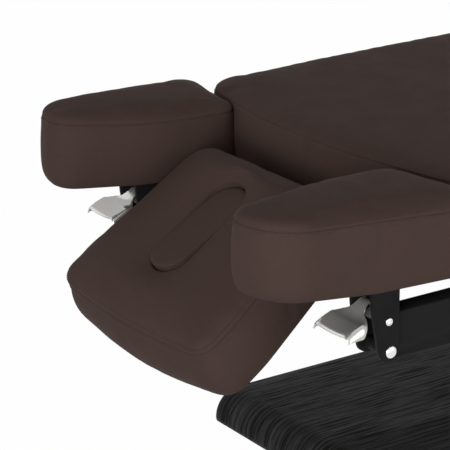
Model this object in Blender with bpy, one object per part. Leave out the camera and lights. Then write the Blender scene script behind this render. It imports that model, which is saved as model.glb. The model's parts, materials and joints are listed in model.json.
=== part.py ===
"""Spa lounger: a padded treatment couch on a wooden plinth, with a drooped headrest and two drop armrests.

Metres, +Z up. The head end is at -X, the occupant's right side is at -Y, and the floor is z = 0.
"""
import math

import bmesh
import bpy
from mathutils import Matrix, Vector

# Overall length and fits
LENGTH = 1.980
SEAT_GAP = 0.0003
RUNNING_CLEARANCE = 0.0003
GLIDE_CLEARANCE = 0.0005
ROUND_SEGMENTS = 20
WELD_OVERLAP = 0.001
DRILL_OVERRUN = 0.010

# Wooden plinth on the floor
PLINTH_HEAD_SET_BACK = 0.348
PLINTH_LENGTH = 1.250
PLINTH_WIDTH = 0.525
PLINTH_THICKNESS = 0.063
PLINTH_END_RADIUS = 0.050
PLINTH_LOWER_RADIUS = 0.010
PLINTH_FOOT_HEIGHT = 0.005
PLINTH_STRIP_WIDTH = 0.050
PLINTH_STRIP_FROM_END = 0.110
PLINTH_STRIP_INSET = 0.030
PLINTH_STRIP_CORNER = 0.010

# Telescopic lifting column
COLUMN_FROM_HEAD = 1.200
COLUMN_WIDTH = 0.160
COLUMN_WALL = 0.005
COLUMN_CLOSED_HEIGHT = 0.255
COLUMN_STEP = 0.004
COLUMN_CORNER = 0.012
FLANGE_THICKNESS = 0.010
FLANGE_MARGIN = 0.050
FLANGE_CORNER = 0.020
LIFT_MOTOR_RADIUS = 0.030
LIFT_MOTOR_HEIGHT = 0.120
LIFT_SCREW_RADIUS = 0.012
LIFT_SCREW_LENGTH = 0.080
CONTROL_BOX_SIZE = (0.180, 0.120, 0.055)
CONTROL_BOX_FROM_COLUMN = 0.170
CONTROL_BOX_CORNER = 0.010
CONTROL_BOX_EDGE = 0.006

# Steel frame
RAIL_HEIGHT = 0.100
RAIL_WIDTH = 0.040
RAIL_SPACING = 0.400
RAIL_HEAD_FROM_COLUMN = 0.250
RAIL_FOOT_FROM_COLUMN = 0.400
TUBE_WALL = 0.003
TUBE_CORNER = 0.005
BEARER_HEIGHT = 0.065
BEARER_WIDTH = 0.050
SEAT_BEARER_FROM_PAD_END = 0.055
HINGE_BEARER_FROM_PAD_END = 0.060
FRONT_BEARER_FROM_HEAD = 0.560
FOOT_BEARER_FROM_PAD_END = 0.130
FOOT_BEARER_INSET = 0.060
LEG_RAIL_SPACING = 0.520
LEG_RAIL_WIDTH = 0.030
LEG_RAIL_HEIGHT = 0.040
BEAM_HEIGHT = 0.080
BEAM_WIDTH = 0.040
BEAM_SPACING = 0.677
BEAM_HEAD_FROM_HEAD = 0.2575
BEAM_FOOT_SET_BACK = 0.035
CROSS_TUBE_SIZE = 0.040
BACK_TIE_FROM_TILT = 0.210
LEG_TIE_FROM_TILT = 0.200
PIVOT_PLATE_THICKNESS = 0.008
PIVOT_PLATE_CLEARANCE = 0.004
PIVOT_PLATE_CORNER = 0.008
PIVOT_PLATE_BEND_RADIUS = 0.030
SADDLE_ABOVE_BEARER = 0.030
SADDLE_RADIUS = 0.040
SIDE_PLATE_FOOT_RADIUS = 0.020
PIVOT_PIN_RADIUS = 0.008
PIVOT_EAR_RADIUS = 0.028
PIVOT_BELOW_PAD_TOP = 0.020
BOARD_THICKNESS = 0.018
BOARD_INSET = 0.025
POCKET_CLEARANCE = 0.0005

# Pads
PAD_SEAM_HEIGHT = 0.114
PAD_CROWN = 0.015
PAD_GAP = 0.010
PAD_HALF_WIDTH = 0.410
PAD_CORNER_RADIUS = 0.030
BACK_HEAD_FROM_HEAD = 0.333
BACK_HEAD_BOW_RADIUS = 1.200
BACK_HEAD_CORNER_SET_BACK = 0.059
BACK_HEAD_HALF_WIDTH = 0.372
BACK_HEAD_CORNER_RADIUS = 0.095
BACK_FOOT_FROM_HEAD = 1.080
BACK_BOARD_BEHIND_CORNER = 0.040
SEAT_LENGTH = 0.360
LEG_FOOT_HALF_WIDTH = 0.375
LEG_FOOT_CORNER_RADIUS = 0.090
PAD_POINT_SPACING = 0.100
SEAM_INSET = 0.002
SIDE_BULGE = 0.004
SIDE_DRAW_IN = 0.010
EDGE_ROLL_START = 0.010
EDGE_ROLL_END = 0.028

# Headrest, measured along its own slope from the front seam
HEADREST_TILT = math.radians(36)
HEADREST_LENGTH = 0.345
HEADREST_POINT_SPACING = 0.045
HEADREST_FRONT_WIDTH = 0.424
HEADREST_FOOT_WIDTH = 0.392
HEADREST_CORNER_RADIUS = 0.034
HEADREST_SEAM_HEIGHT = 0.105
HEADREST_CROWN = 0.012
HEADREST_BOW = 0.010
HEADREST_BULGE = 0.009
HEADREST_DRAW_IN = 0.004
HEADREST_SEAM_ABOVE_FLOOR = 0.373
HEADREST_BOARD_THICKNESS = 0.015
HEADREST_AXLE_PAST_PAD = 0.041
HEADREST_AXLE_RADIUS = 0.006
HEADREST_ARM_WIDTH = 0.030
HEADREST_ARM_THICKNESS = 0.008
HEADREST_ARM_SPACING = 0.170
HEADREST_ARM_START = 0.060
HEADREST_EYE_WALL = 0.006
HEADREST_EYE_DROP = 0.027
HANGER_THICKNESS = 0.008
HANGER_EDGE = 0.004
AXLE_PAST_HANGER = 0.006
SLOT_FROM_SEAM = 0.190
SLOT_LENGTH = 0.200
SLOT_WIDTH = 0.076
SLOT_LEDGE = 0.012
SLOT_ROLL_WIDTH = 0.022
SLOT_ROLL_NECK = 0.008
SLOT_ROLL_DEPTH = 0.006
PLUG_CLEARANCE = 0.0006
PLUG_PROUD = 0.010
PLUG_SUNK = 0.012
PLUG_TAPER = 0.003
PLUG_ROLL_DEPTH = 0.016
PLUG_ROLL_WIDTH = 0.022

# Armrests: plan corners are distances from the headrest seam and from the centre line
ARMREST_HEAD_INNER = (0.005, 0.290)
ARMREST_HEAD_OUTER = (0.030, 0.405)
ARMREST_FOOT_OUTER = (0.392, 0.437)
ARMREST_FOOT_INNER = (0.350, 0.218)
ARMREST_INNER_BEND = (0.200, 0.218)
ARMREST_RADII = (0.045, 0.070, 0.035, 0.030, 0.250)
ARMREST_POINT_SPACING = 0.060
ARMREST_LEFT_HEAD_SHIFT = 0.026
ARMREST_RIGHT_HEAD_SHIFT = -0.008
BRACKET_THICKNESS = 0.006
BRACKET_INNER_WIDTH = 0.047
BRACKET_TOP_WIDTH = 0.056
BRACKET_END_RADIUS = 0.020
BRACKET_BEHIND_PIVOT = 0.016
BRACKET_TAPER = 0.004
BRACKET_BEND_ABOVE_PIVOT = 0.070
BRACKET_BEND_RADIUS = 0.060
BRACKET_EDGE = 0.001
ARM_PIVOT_FROM_HEAD = 0.2485
ARM_PIVOT_BELOW_BEAM_TOP = 0.0596
ARM_PIVOT_BOLT_RADIUS = 0.006
ARM_PIVOT_TUBE_RADIUS = 0.011
ARM_PIVOT_HEAD_RADIUS = 0.0105
ARM_PIVOT_HEAD_HEIGHT = 0.006
LEVER_AXLE_ABOVE_PIVOT = 0.0515
LEVER_AXLE_AHEAD_OF_PIVOT = 0.005
LEVER_AXLE_RADIUS = 0.004
LEVER_AXLE_HEAD_RADIUS = 0.007
LEVER_AXLE_HEAD_HEIGHT = 0.0045

# Armrest release levers: bent polished sheet
LEVER_SHEET = 0.0025
LEVER_HUB_RADIUS = 0.008
LEVER_STEM_WIDTH = 0.022
LEVER_STEM_RISE = 0.0195
LEVER_STEM_REACH = 0.040
LEVER_PADDLE_WIDTH = 0.075
LEVER_PADDLE_LENGTH = 0.048
LEVER_PADDLE_DROP = 0.016
LEVER_DISH = 0.004
LEVER_BEND_DROP = 0.008
LEVER_LIP = 0.003

# Linear actuators
ACTUATOR_TUBE_RADIUS = 0.020
ACTUATOR_ROD_RADIUS = 0.010
ACTUATOR_EYE_RADIUS = 0.020
ACTUATOR_EYE_WIDTH = 0.028
ACTUATOR_SHAFT_RADIUS = 0.008
ACTUATOR_ROLLER_RADIUS = 0.015
ACTUATOR_ROLLER_WIDTH = 0.030
ACTUATOR_OFFSET = 0.075
ACTUATOR_SHAFT_ABOVE_RAIL_BOTTOM = 0.040
BACK_ACTUATOR_REACH = 0.420
LEG_ACTUATOR_REACH = 0.360
ACTUATOR_MOTOR_SIZE = (0.090, 0.056, 0.042)
ACTUATOR_MOTOR_FROM_SHAFT = 0.030
ACTUATOR_MOTOR_CORNER = 0.008
ACTUATOR_MOTOR_EDGE = 0.006
ACTUATOR_ROD_SHOWN = 0.075
ACTUATOR_ROD_GUIDED = 0.030
ACTUATOR_BORE_SPARE = 0.003
PUSH_ARM_LENGTH = 0.235
PUSH_PLATE_THICKNESS = 0.006
PUSH_PLATE_SIZE = 0.050
PUSH_PLATE_CLEARANCE = 0.0014
PUSH_PLATE_WIDTH = 0.045
PUSH_ARM_THICKNESS = 0.021
PUSH_ARM_TIP_HEIGHT = 0.032
PUSH_ARM_ROOT_WIDTH = 0.040
PUSH_ARM_BITE = 0.002

# Travel of the tilting sections, and how far their push arms start behind the upright
BACK_TRAVEL = math.radians(60)
LEG_TRAVEL = math.radians(35)
BACK_PUSH_START = math.radians(18)
LEG_PUSH_START = math.radians(12)

# Places worked out from the sizes above
SEAM_X = -LENGTH / 2 + (HEADREST_BOW - SEAM_INSET) * math.cos(HEADREST_TILT)
PLINTH_TOP = PLINTH_FOOT_HEIGHT + PLINTH_THICKNESS
COLUMN_FOOT = PLINTH_TOP + SEAT_GAP
COLUMN_X = SEAM_X + COLUMN_FROM_HEAD
COLUMN_HEAD = COLUMN_FOOT + FLANGE_THICKNESS + COLUMN_CLOSED_HEIGHT
RAIL_BOTTOM = COLUMN_HEAD + FLANGE_THICKNESS + SEAT_GAP
RAIL_TOP = RAIL_BOTTOM + RAIL_HEIGHT
BEARER_BOTTOM = RAIL_TOP + SEAT_GAP
BEARER_TOP = BEARER_BOTTOM + BEARER_HEIGHT
BOARD_BOTTOM = BEARER_TOP + SEAT_GAP
BOARD_TOP = BOARD_BOTTOM + BOARD_THICKNESS
PAD_TOP = BOARD_BOTTOM + PAD_SEAM_HEIGHT + PAD_CROWN
BACK_FOOT_X = SEAM_X + BACK_FOOT_FROM_HEAD
SEAT_HEAD_X = BACK_FOOT_X + PAD_GAP
SEAT_FOOT_X = SEAT_HEAD_X + SEAT_LENGTH
LEG_HEAD_X = SEAT_FOOT_X + PAD_GAP
LEG_FOOT_X = LENGTH / 2 - SIDE_BULGE
TILT_Z = PAD_TOP - PIVOT_BELOW_PAD_TOP
BACK_TILT = Vector((BACK_FOOT_X + PAD_GAP / 2, 0, TILT_Z))
LEG_TILT = Vector((SEAT_FOOT_X + PAD_GAP / 2, 0, TILT_Z))
INNER_PLATE_Y = PAD_HALF_WIDTH + SIDE_BULGE + PIVOT_PLATE_CLEARANCE
OUTER_PLATE_Y = INNER_PLATE_Y + PIVOT_PLATE_THICKNESS + RUNNING_CLEARANCE
BEAM_FOOT_X = BACK_TILT.x - BEAM_FOOT_SET_BACK
BEAM_Y = BEAM_SPACING / 2
BEAM_BOTTOM = RAIL_TOP - BEAM_HEIGHT
ARM_PIVOT = Vector((SEAM_X + ARM_PIVOT_FROM_HEAD, BEAM_Y, RAIL_TOP - ARM_PIVOT_BELOW_BEAM_TOP))
LEVER_AXLE = ARM_PIVOT + Vector((-LEVER_AXLE_AHEAD_OF_PIVOT, 0, LEVER_AXLE_ABOVE_PIVOT))
HEADREST_BOARD_BOTTOM = -HEADREST_SEAM_HEIGHT
HEADREST_BOARD_TOP = HEADREST_BOARD_BOTTOM + HEADREST_BOARD_THICKNESS
HEADREST_ARM_TOP = HEADREST_BOARD_BOTTOM - SEAT_GAP
HANGER_Y = HEADREST_ARM_SPACING / 2 + HEADREST_ARM_WIDTH / 2 + RUNNING_CLEARANCE
HEADREST_EYE_RADIUS = HEADREST_AXLE_RADIUS + RUNNING_CLEARANCE + HEADREST_EYE_WALL
AXLE_U = HEADREST_LENGTH + HEADREST_AXLE_PAST_PAD
AXLE_N = HEADREST_ARM_TOP - HEADREST_EYE_DROP
HEADREST_FRAME = (
    Matrix.Translation((SEAM_X, 0, HEADREST_SEAM_ABOVE_FLOOR)) @ Matrix.Rotation(-HEADREST_TILT, 4, "Y")
)
HEADREST_AXLE = HEADREST_FRAME @ Vector((AXLE_U, 0, AXLE_N))


def remove_everything():
    for old in list(bpy.data.objects):
        bpy.data.objects.remove(old)


def principled(name, colour, roughness, metallic=0.0):
    made = bpy.data.materials.new(name)
    made.use_nodes = True
    shader = made.node_tree.nodes["Principled BSDF"]
    shader.inputs["Base Color"].default_value = (*colour, 1.0)
    shader.inputs["Roughness"].default_value = roughness
    shader.inputs["Metallic"].default_value = metallic
    return made


def finish(name, bm, material, smooth_angle=None, frame=None):
    """Turn a bmesh into a named object, optionally placed by a frame matrix."""
    bmesh.ops.recalc_face_normals(bm, faces=bm.faces)
    mesh = bpy.data.meshes.new(name)
    bm.to_mesh(mesh)
    bm.free()
    mesh.materials.append(material)
    if smooth_angle is not None:
        mesh.shade_smooth()
        mesh.set_sharp_from_angle(angle=math.radians(smooth_angle))
    made = bpy.data.objects.new(name, mesh)
    bpy.context.scene.collection.objects.link(made)
    if frame is not None:
        made.matrix_world = frame
    return made


def combine(target, tool, operation):
    """Apply an exact Boolean of one object on another and drop the tool object."""
    step = target.modifiers.new(operation.lower(), "BOOLEAN")
    step.operation = operation
    step.solver = "EXACT"
    step.object = tool
    bpy.context.view_layer.update()
    evaluated = target.evaluated_get(bpy.context.evaluated_depsgraph_get())
    result = bpy.data.meshes.new_from_object(evaluated)
    target.modifiers.clear()
    target.data = result
    bpy.data.objects.remove(tool)
    return target


def pivot(name, place, parent=None):
    """An empty on a joint's axis, which carries the pieces that turn or slide there."""
    made = bpy.data.objects.new(name, None)
    made.location = place
    bpy.context.scene.collection.objects.link(made)
    if parent:
        carry(parent, made)
    return made


def carry(parent, *pieces):
    """Parent pieces to a pivot and keep them where they are."""
    bpy.context.view_layer.update()
    for piece in pieces:
        piece.parent = parent
        piece.matrix_parent_inverse = parent.matrix_world.inverted()


def loft(rings, closed_loop=False):
    """Skin a list of equal rings of points; the ends are capped unless the rings close on themselves."""
    bm = bmesh.new()
    rows = [[bm.verts.new(point) for point in ring] for ring in rings]
    count = len(rows[0])
    pairs = list(zip(rows, rows[1:]))
    if closed_loop:
        pairs.append((rows[-1], rows[0]))
    for lower, upper in pairs:
        for i in range(count):
            j = (i + 1) % count
            bm.faces.new((lower[i], lower[j], upper[j], upper[i]))
    if not closed_loop:
        bm.faces.new(reversed(rows[0]))
        bm.faces.new(rows[-1])
    return bm


def rounded_outline(corners, steps=5):
    """A closed outline through (x, y, radius) corners, each rounded by an arc."""
    points = []
    for i, (x, y, radius) in enumerate(corners):
        here = Vector((x, y))
        back = (Vector(corners[i - 1][:2]) - here).normalized()
        ahead = (Vector(corners[(i + 1) % len(corners)][:2]) - here).normalized()
        half_angle = back.angle(ahead) / 2
        middle = (back + ahead).normalized()
        centre = here + middle * (radius / math.sin(half_angle))
        first = here + back * (radius / math.tan(half_angle)) - centre
        sweep = first.angle_signed(here + ahead * (radius / math.tan(half_angle)) - centre)
        for k in range(steps + 1):
            turn = Matrix.Rotation(-sweep * k / steps, 2)
            points.append(centre + turn @ first)
    return points


def rectangle(x0, y0, x1, y1, radius):
    return [(x0, y0, radius), (x1, y0, radius), (x1, y1, radius), (x0, y1, radius)]


def even_points(outline, spacing):
    """Add points along the long straight stretches of an outline."""
    result = []
    for here, ahead in zip(outline, outline[1:] + outline[:1]):
        parts = max(1, round((ahead - here).length / spacing))
        result.extend(here.lerp(ahead, k / parts) for k in range(parts))
    return result


def inset(outline, distance):
    """Move every point of an outline inwards along its own normal."""
    count = len(outline)
    area = sum(outline[i - 1].cross(outline[i]) for i in range(count))
    side = 1 if area > 0 else -1
    moved = []
    for i in range(count):
        along = (outline[(i + 1) % count] - outline[i - 1]).normalized()
        moved.append(outline[i] + Vector((-along.y, along.x)) * distance * side)
    return moved


def slab(outline, bottom, top):
    """An upright prism on a plan outline."""
    return loft([[(p.x, p.y, z) for p in outline] for z in (bottom, top)])


def side_plate(outline, start, end):
    """A plate cut to an outline in the XZ plane, between two Y values."""
    return loft([[(p.x, y, p.y) for p in outline] for y in (start, end)])


def turned(profile, start, direction, segments=ROUND_SEGMENTS):
    """A solid of revolution: (distance along the axis, radius) pairs from a start point."""
    axis = Vector(direction).normalized()
    across = axis.orthogonal().normalized()
    other = axis.cross(across)
    rings = []
    for distance, radius in profile:
        centre = Vector(start) + axis * distance
        angles = [2 * math.pi * k / segments for k in range(segments)]
        rings.append([centre + (across * math.cos(a) + other * math.sin(a)) * radius for a in angles])
    return loft(rings)


def rod(start, end, radius, segments=ROUND_SEGMENTS):
    span = Vector(end) - Vector(start)
    return turned([(0, radius), (span.length, radius)], start, span, segments)


def hole(target, start, end, radius):
    """Drill a round hole between two points."""
    return combine(target, finish("drill", rod(start, end, radius), STEEL), "DIFFERENCE")


def tube_section(width, height, trim=0.0):
    radius = max(TUBE_CORNER - trim, 0.001)
    half_width = width / 2 - trim
    half_height = height / 2 - trim
    return rounded_outline(rectangle(-half_width, -half_height, half_width, half_height, radius), 2)


def tube_along_x(y, z, x0, x1, width, height, closed_head=False):
    """A rectangular steel tube along X, centred on y and z; its head end may have a welded plate."""
    outer = tube_section(width, height)
    inner = tube_section(width, height, TUBE_WALL)
    stop = x0 + TUBE_WALL if closed_head else x0
    rings = [(outer, x1), (outer, x0), (inner, stop), (inner, x1)]
    placed = [[(x, y + p.x, z + p.y) for p in ring] for ring, x in rings]
    if not closed_head:
        return loft(placed, closed_loop=True)
    outer_foot, outer_head, inner_head, inner_foot = placed
    return loft([inner_head, inner_foot, outer_foot, outer_head])


def tube_along_y(x, z, y0, y1, width, height):
    outer = tube_section(width, height)
    inner = tube_section(width, height, TUBE_WALL)
    rings = [(outer, y1), (outer, y0), (inner, y0), (inner, y1)]
    return loft([[(x + p.x, y, z + p.y) for p in ring] for ring, y in rings], closed_loop=True)


def boxing(outline, bottom, seam_height, crown, bulge, draw_in):
    """Rings of a cushion's side, from its lower edge round the bulge and the seam to the rolled top edge."""
    seam = bottom + seam_height
    levels = [
        (draw_in, bottom),
        (-0.2 * bulge, bottom + seam_height * 0.16),
        (-bulge, bottom + seam_height * 0.55),
        (SEAM_INSET, seam),
        (EDGE_ROLL_START, seam + crown * 0.42),
        (EDGE_ROLL_END, seam + crown * 0.68),
    ]
    return [[(p.x, p.y, z) for p in inset(outline, d)] for d, z in levels]


def pocket(outline, floor, ceiling):
    """Rings of the recess under a cushion that takes its board."""
    edge = inset(outline, BOARD_INSET - POCKET_CLEARANCE)
    return [[(p.x, p.y, z) for p in edge] for z in (ceiling, floor)]


def pad(outline, bottom, seam_height, crown):
    """A boxed cushion over its board: bulged sides, a seam, a rolled edge and a crowned top."""
    seam = bottom + seam_height
    rings = pocket(outline, bottom, bottom + BOARD_THICKNESS + SEAT_GAP)
    rings += boxing(outline, bottom, seam_height, crown, SIDE_BULGE, SIDE_DRAW_IN)
    edge = [Vector(p[:2]) for p in rings[-1]]
    centre = sum(edge, Vector((0, 0))) / len(edge)
    for share, height in ((0.78, 0.86), (0.45, 0.97), (0.12, 1.0)):
        rings.append([(*(centre + (p - centre) * share), seam + crown * height) for p in edge])
    return loft(rings)


def slotted_pad(outline, hole_outline, bottom, seam_height, crown):
    """A boxed cushion over its board with a hole through it, whose rim is rolled like the outer edge."""
    seam = bottom + seam_height
    ceiling = bottom + HEADREST_BOARD_THICKNESS + SEAT_GAP
    rim = [
        (-SLOT_ROLL_WIDTH, seam + crown),
        (-SLOT_ROLL_NECK, seam + crown * 0.70),
        (0.0, seam - SLOT_ROLL_DEPTH),
        (0.0, ceiling),
    ]
    rings = boxing(outline, bottom, seam_height, crown, HEADREST_BULGE, HEADREST_DRAW_IN)
    rings += [[(p.x, p.y, z) for p in inset(hole_outline, d)] for d, z in rim]
    rings += pocket(outline, bottom, ceiling)
    return loft(rings, closed_loop=True)


def slot_outline(around, trim=0.0):
    """The face slot's outline with round ends: each point lies opposite one of the outline round it."""
    radius = SLOT_WIDTH / 2
    reach = SLOT_LENGTH / 2 - radius
    points = []
    for p in around:
        centre = Vector((min(max(p.x, SLOT_FROM_SEAM - reach), SLOT_FROM_SEAM + reach), 0))
        points.append(centre + (p - centre).normalized() * (radius - trim))
    return points


def build_plinth():
    x0 = SEAM_X + PLINTH_HEAD_SET_BACK
    x1 = x0 + PLINTH_LENGTH
    half = PLINTH_WIDTH / 2
    ends = [
        (x0, PLINTH_FOOT_HEIGHT, PLINTH_LOWER_RADIUS),
        (x1, PLINTH_FOOT_HEIGHT, PLINTH_LOWER_RADIUS),
        (x1, PLINTH_TOP, PLINTH_END_RADIUS),
        (x0, PLINTH_TOP, PLINTH_END_RADIUS),
    ]
    finish("plinth", side_plate(rounded_outline(ends, 7), -half, half), WOOD, 40)
    reach = half - PLINTH_STRIP_INSET
    for word, x in (("head", x0 + PLINTH_STRIP_FROM_END), ("foot", x1 - PLINTH_STRIP_FROM_END)):
        edge = PLINTH_STRIP_WIDTH / 2
        plan = rounded_outline(rectangle(x - edge, -reach, x + edge, reach, PLINTH_STRIP_CORNER), 4)
        strip = slab(plan, 0, PLINTH_FOOT_HEIGHT - SEAT_GAP)
        finish(f"floor_strip_{word}", strip, RUBBER, 40)


def square_tube(width, wall, bottom, top):
    """An upright square column stage."""
    half = width / 2
    outer = rounded_outline(rectangle(-half, -half, half, half, COLUMN_CORNER), 3)
    inner = inset(outer, wall)
    rings = [(outer, top), (outer, bottom), (inner, bottom), (inner, top)]
    placed = [[(COLUMN_X + p.x, p.y, z) for p in ring] for ring, z in rings]
    return loft(placed, closed_loop=True)


def flange(bottom, top, reach):
    """A column's end plate, which reaches a given distance to each side."""
    half = COLUMN_WIDTH / 2 + FLANGE_MARGIN
    plan = rectangle(COLUMN_X - half, -reach, COLUMN_X + half, reach, FLANGE_CORNER)
    return slab(rounded_outline(plan, 4), bottom, top)


def build_column(lift, middle):
    """Three nested stages: the outer one is welded to a floor flange, the inner one to a head flange."""
    floor = COLUMN_FOOT + FLANGE_THICKNESS
    step = COLUMN_WALL + GLIDE_CLEARANCE
    outer_top = COLUMN_HEAD - 2 * COLUMN_STEP
    outer_tube = square_tube(COLUMN_WIDTH, COLUMN_WALL, floor - WELD_OVERLAP, outer_top)
    outer = finish("column_outer", outer_tube, STEEL, 40)
    foot = flange(COLUMN_FOOT, floor, COLUMN_WIDTH / 2 + FLANGE_MARGIN)
    combine(outer, finish("foot", foot, STEEL), "UNION")
    width = COLUMN_WIDTH - 2 * step
    middle_tube = square_tube(width, COLUMN_WALL, floor + SEAT_GAP, outer_top + COLUMN_STEP)
    stage = finish("column_middle", middle_tube, ALUMINIUM, 40)
    width -= 2 * step
    inner_tube = square_tube(width, COLUMN_WALL, floor + SEAT_GAP, COLUMN_HEAD + WELD_OVERLAP)
    inner = finish("column_inner", inner_tube, ALUMINIUM, 40)
    over_rails = (RAIL_SPACING + RAIL_WIDTH) / 2
    head = flange(COLUMN_HEAD, COLUMN_HEAD + FLANGE_THICKNESS, over_rails)
    combine(inner, finish("head", head, STEEL), "UNION")
    carry(middle, stage)
    carry(lift, inner)
    motor = [
        (0, LIFT_MOTOR_RADIUS),
        (LIFT_MOTOR_HEIGHT, LIFT_MOTOR_RADIUS),
        (LIFT_MOTOR_HEIGHT, LIFT_SCREW_RADIUS),
        (LIFT_MOTOR_HEIGHT + LIFT_SCREW_LENGTH, LIFT_SCREW_RADIUS),
    ]
    finish("lift_motor", turned(motor, (COLUMN_X, 0, floor + SEAT_GAP), (0, 0, 1)), BLACK_PLASTIC, 40)
    build_control_box()


def build_control_box():
    """A moulded case on the plinth, with its edges drawn in."""
    length, depth, height = CONTROL_BOX_SIZE
    x0 = COLUMN_X + CONTROL_BOX_FROM_COLUMN
    plan = rounded_outline(rectangle(x0, -depth / 2, x0 + length, depth / 2, CONTROL_BOX_CORNER), 4)
    edge = CONTROL_BOX_EDGE
    rings = [(edge / 3, 0.0), (0.0, edge * 2 / 3), (0.0, height - edge), (edge, height)]
    shell = [[(p.x, p.y, COLUMN_FOOT + z) for p in inset(plan, d)] for d, z in rings]
    finish("control_box", loft(shell), BLACK_PLASTIC, 30)


def bearer(name, x, half_length):
    middle = (BEARER_BOTTOM + BEARER_TOP) / 2
    tube = tube_along_y(x, middle, -half_length, half_length, BEARER_WIDTH, BEARER_HEIGHT)
    return finish(name, tube, STEEL, 40)


def push_arm(start):
    """Where an arm below a tilt pivot ends, as (ahead of the pivot, below it)."""
    return (-PUSH_ARM_LENGTH * math.sin(start), PUSH_ARM_LENGTH * math.cos(start))


BACK_PUSH_ARM = push_arm(BACK_PUSH_START)
LEG_PUSH_ARM = push_arm(LEG_PUSH_START)


def actuator_shaft_x(tilt_x, towards, reach, arm):
    """Where an actuator's rear shaft sits: its reach beyond the push point, towards the other side."""
    return tilt_x + towards * (reach - arm[0])


BACK_SHAFT = Vector((
    actuator_shaft_x(BACK_TILT.x, 1, BACK_ACTUATOR_REACH, BACK_PUSH_ARM),
    ACTUATOR_OFFSET,
    RAIL_BOTTOM + ACTUATOR_SHAFT_ABOVE_RAIL_BOTTOM,
))
LEG_SHAFT = Vector((
    actuator_shaft_x(LEG_TILT.x, -1, LEG_ACTUATOR_REACH, LEG_PUSH_ARM),
    -ACTUATOR_OFFSET,
    RAIL_BOTTOM + ACTUATOR_SHAFT_ABOVE_RAIL_BOTTOM,
))


def build_chassis(lift):
    pieces = []
    x0 = COLUMN_X - RAIL_HEAD_FROM_COLUMN
    x1 = COLUMN_X + RAIL_FOOT_FROM_COLUMN
    middle = (RAIL_BOTTOM + RAIL_TOP) / 2
    rail_y = RAIL_SPACING / 2
    inside = rail_y - RAIL_WIDTH / 2 - SEAT_GAP
    for side, word in ((1, "left"), (-1, "right")):
        rail = tube_along_x(side * rail_y, middle, x0, x1, RAIL_WIDTH, RAIL_HEIGHT)
        pieces.append(finish(f"chassis_rail_{word}", rail, STEEL, 40))
    for name, place in (("back_actuator_shaft", BACK_SHAFT), ("leg_actuator_shaft", LEG_SHAFT)):
        hand = math.copysign(1, place.y)
        tip = place.y - hand * ACTUATOR_EYE_WIDTH
        bar = rod((place.x, tip, place.z), (place.x, hand * inside, place.z), ACTUATOR_SHAFT_RADIUS)
        pieces.append(finish(name, bar, ZINC, 40))
    head_bearer_x = SEAT_HEAD_X + SEAT_BEARER_FROM_PAD_END
    foot_bearer_x = SEAT_FOOT_X - SEAT_BEARER_FROM_PAD_END
    pieces.append(bearer("seat_bearer_head", head_bearer_x, OUTER_PLATE_Y - SEAT_GAP))
    pieces.append(bearer("seat_bearer_foot", foot_bearer_x, OUTER_PLATE_Y - SEAT_GAP))
    pieces.extend(seat_side_plate(side, word) for side, word in ((1, "left"), (-1, "right")))
    seat = rectangle(SEAT_HEAD_X, -PAD_HALF_WIDTH, SEAT_FOOT_X, PAD_HALF_WIDTH, PAD_CORNER_RADIUS)
    pieces.extend(board_and_pad("seat", rounded_outline(seat)))
    carry(lift, *pieces)


def seat_side_plate(side, word):
    """The plate at one side of the seat, with an ear at each end for a tilt pivot."""
    ear = PIVOT_EAR_RADIUS
    saddle = BEARER_TOP + SADDLE_ABOVE_BEARER
    outline = rounded_outline([
        (BACK_TILT.x - ear, TILT_Z + ear, ear * 0.98),
        (BACK_TILT.x + ear, TILT_Z + ear, ear * 0.98),
        (BACK_TILT.x + ear * 1.8, saddle, SADDLE_RADIUS),
        (LEG_TILT.x - ear * 1.8, saddle, SADDLE_RADIUS),
        (LEG_TILT.x - ear, TILT_Z + ear, ear * 0.98),
        (LEG_TILT.x + ear, TILT_Z + ear, ear * 0.98),
        (LEG_TILT.x + ear * 0.4, BEARER_BOTTOM, SIDE_PLATE_FOOT_RADIUS),
        (BACK_TILT.x - ear * 0.4, BEARER_BOTTOM, SIDE_PLATE_FOOT_RADIUS),
    ], 6)
    start = side * OUTER_PLATE_Y
    end = side * (OUTER_PLATE_Y + PIVOT_PLATE_THICKNESS)
    plate = finish(f"seat_side_plate_{word}", side_plate(outline, start, end), STEEL, 40)
    for tilt in (BACK_TILT, LEG_TILT):
        near = Vector((tilt.x, start - side * DRILL_OVERRUN, TILT_Z))
        far = Vector((tilt.x, end + side * DRILL_OVERRUN, TILT_Z))
        hole(plate, near, far, PIVOT_PIN_RADIUS + RUNNING_CLEARANCE)
    return plate


def board_and_pad(word, outline):
    """One section's plywood board, and the cushion that sits over it."""
    board = slab(inset(outline, BOARD_INSET), BOARD_BOTTOM, BOARD_TOP)
    form = pad(even_points(outline, PAD_POINT_SPACING), BOARD_BOTTOM, PAD_SEAM_HEIGHT, PAD_CROWN)
    return [
        finish(f"{word}_board", board, PLYWOOD, 40),
        finish(f"{word}_pad", form, UPHOLSTERY, 60),
    ]


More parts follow.
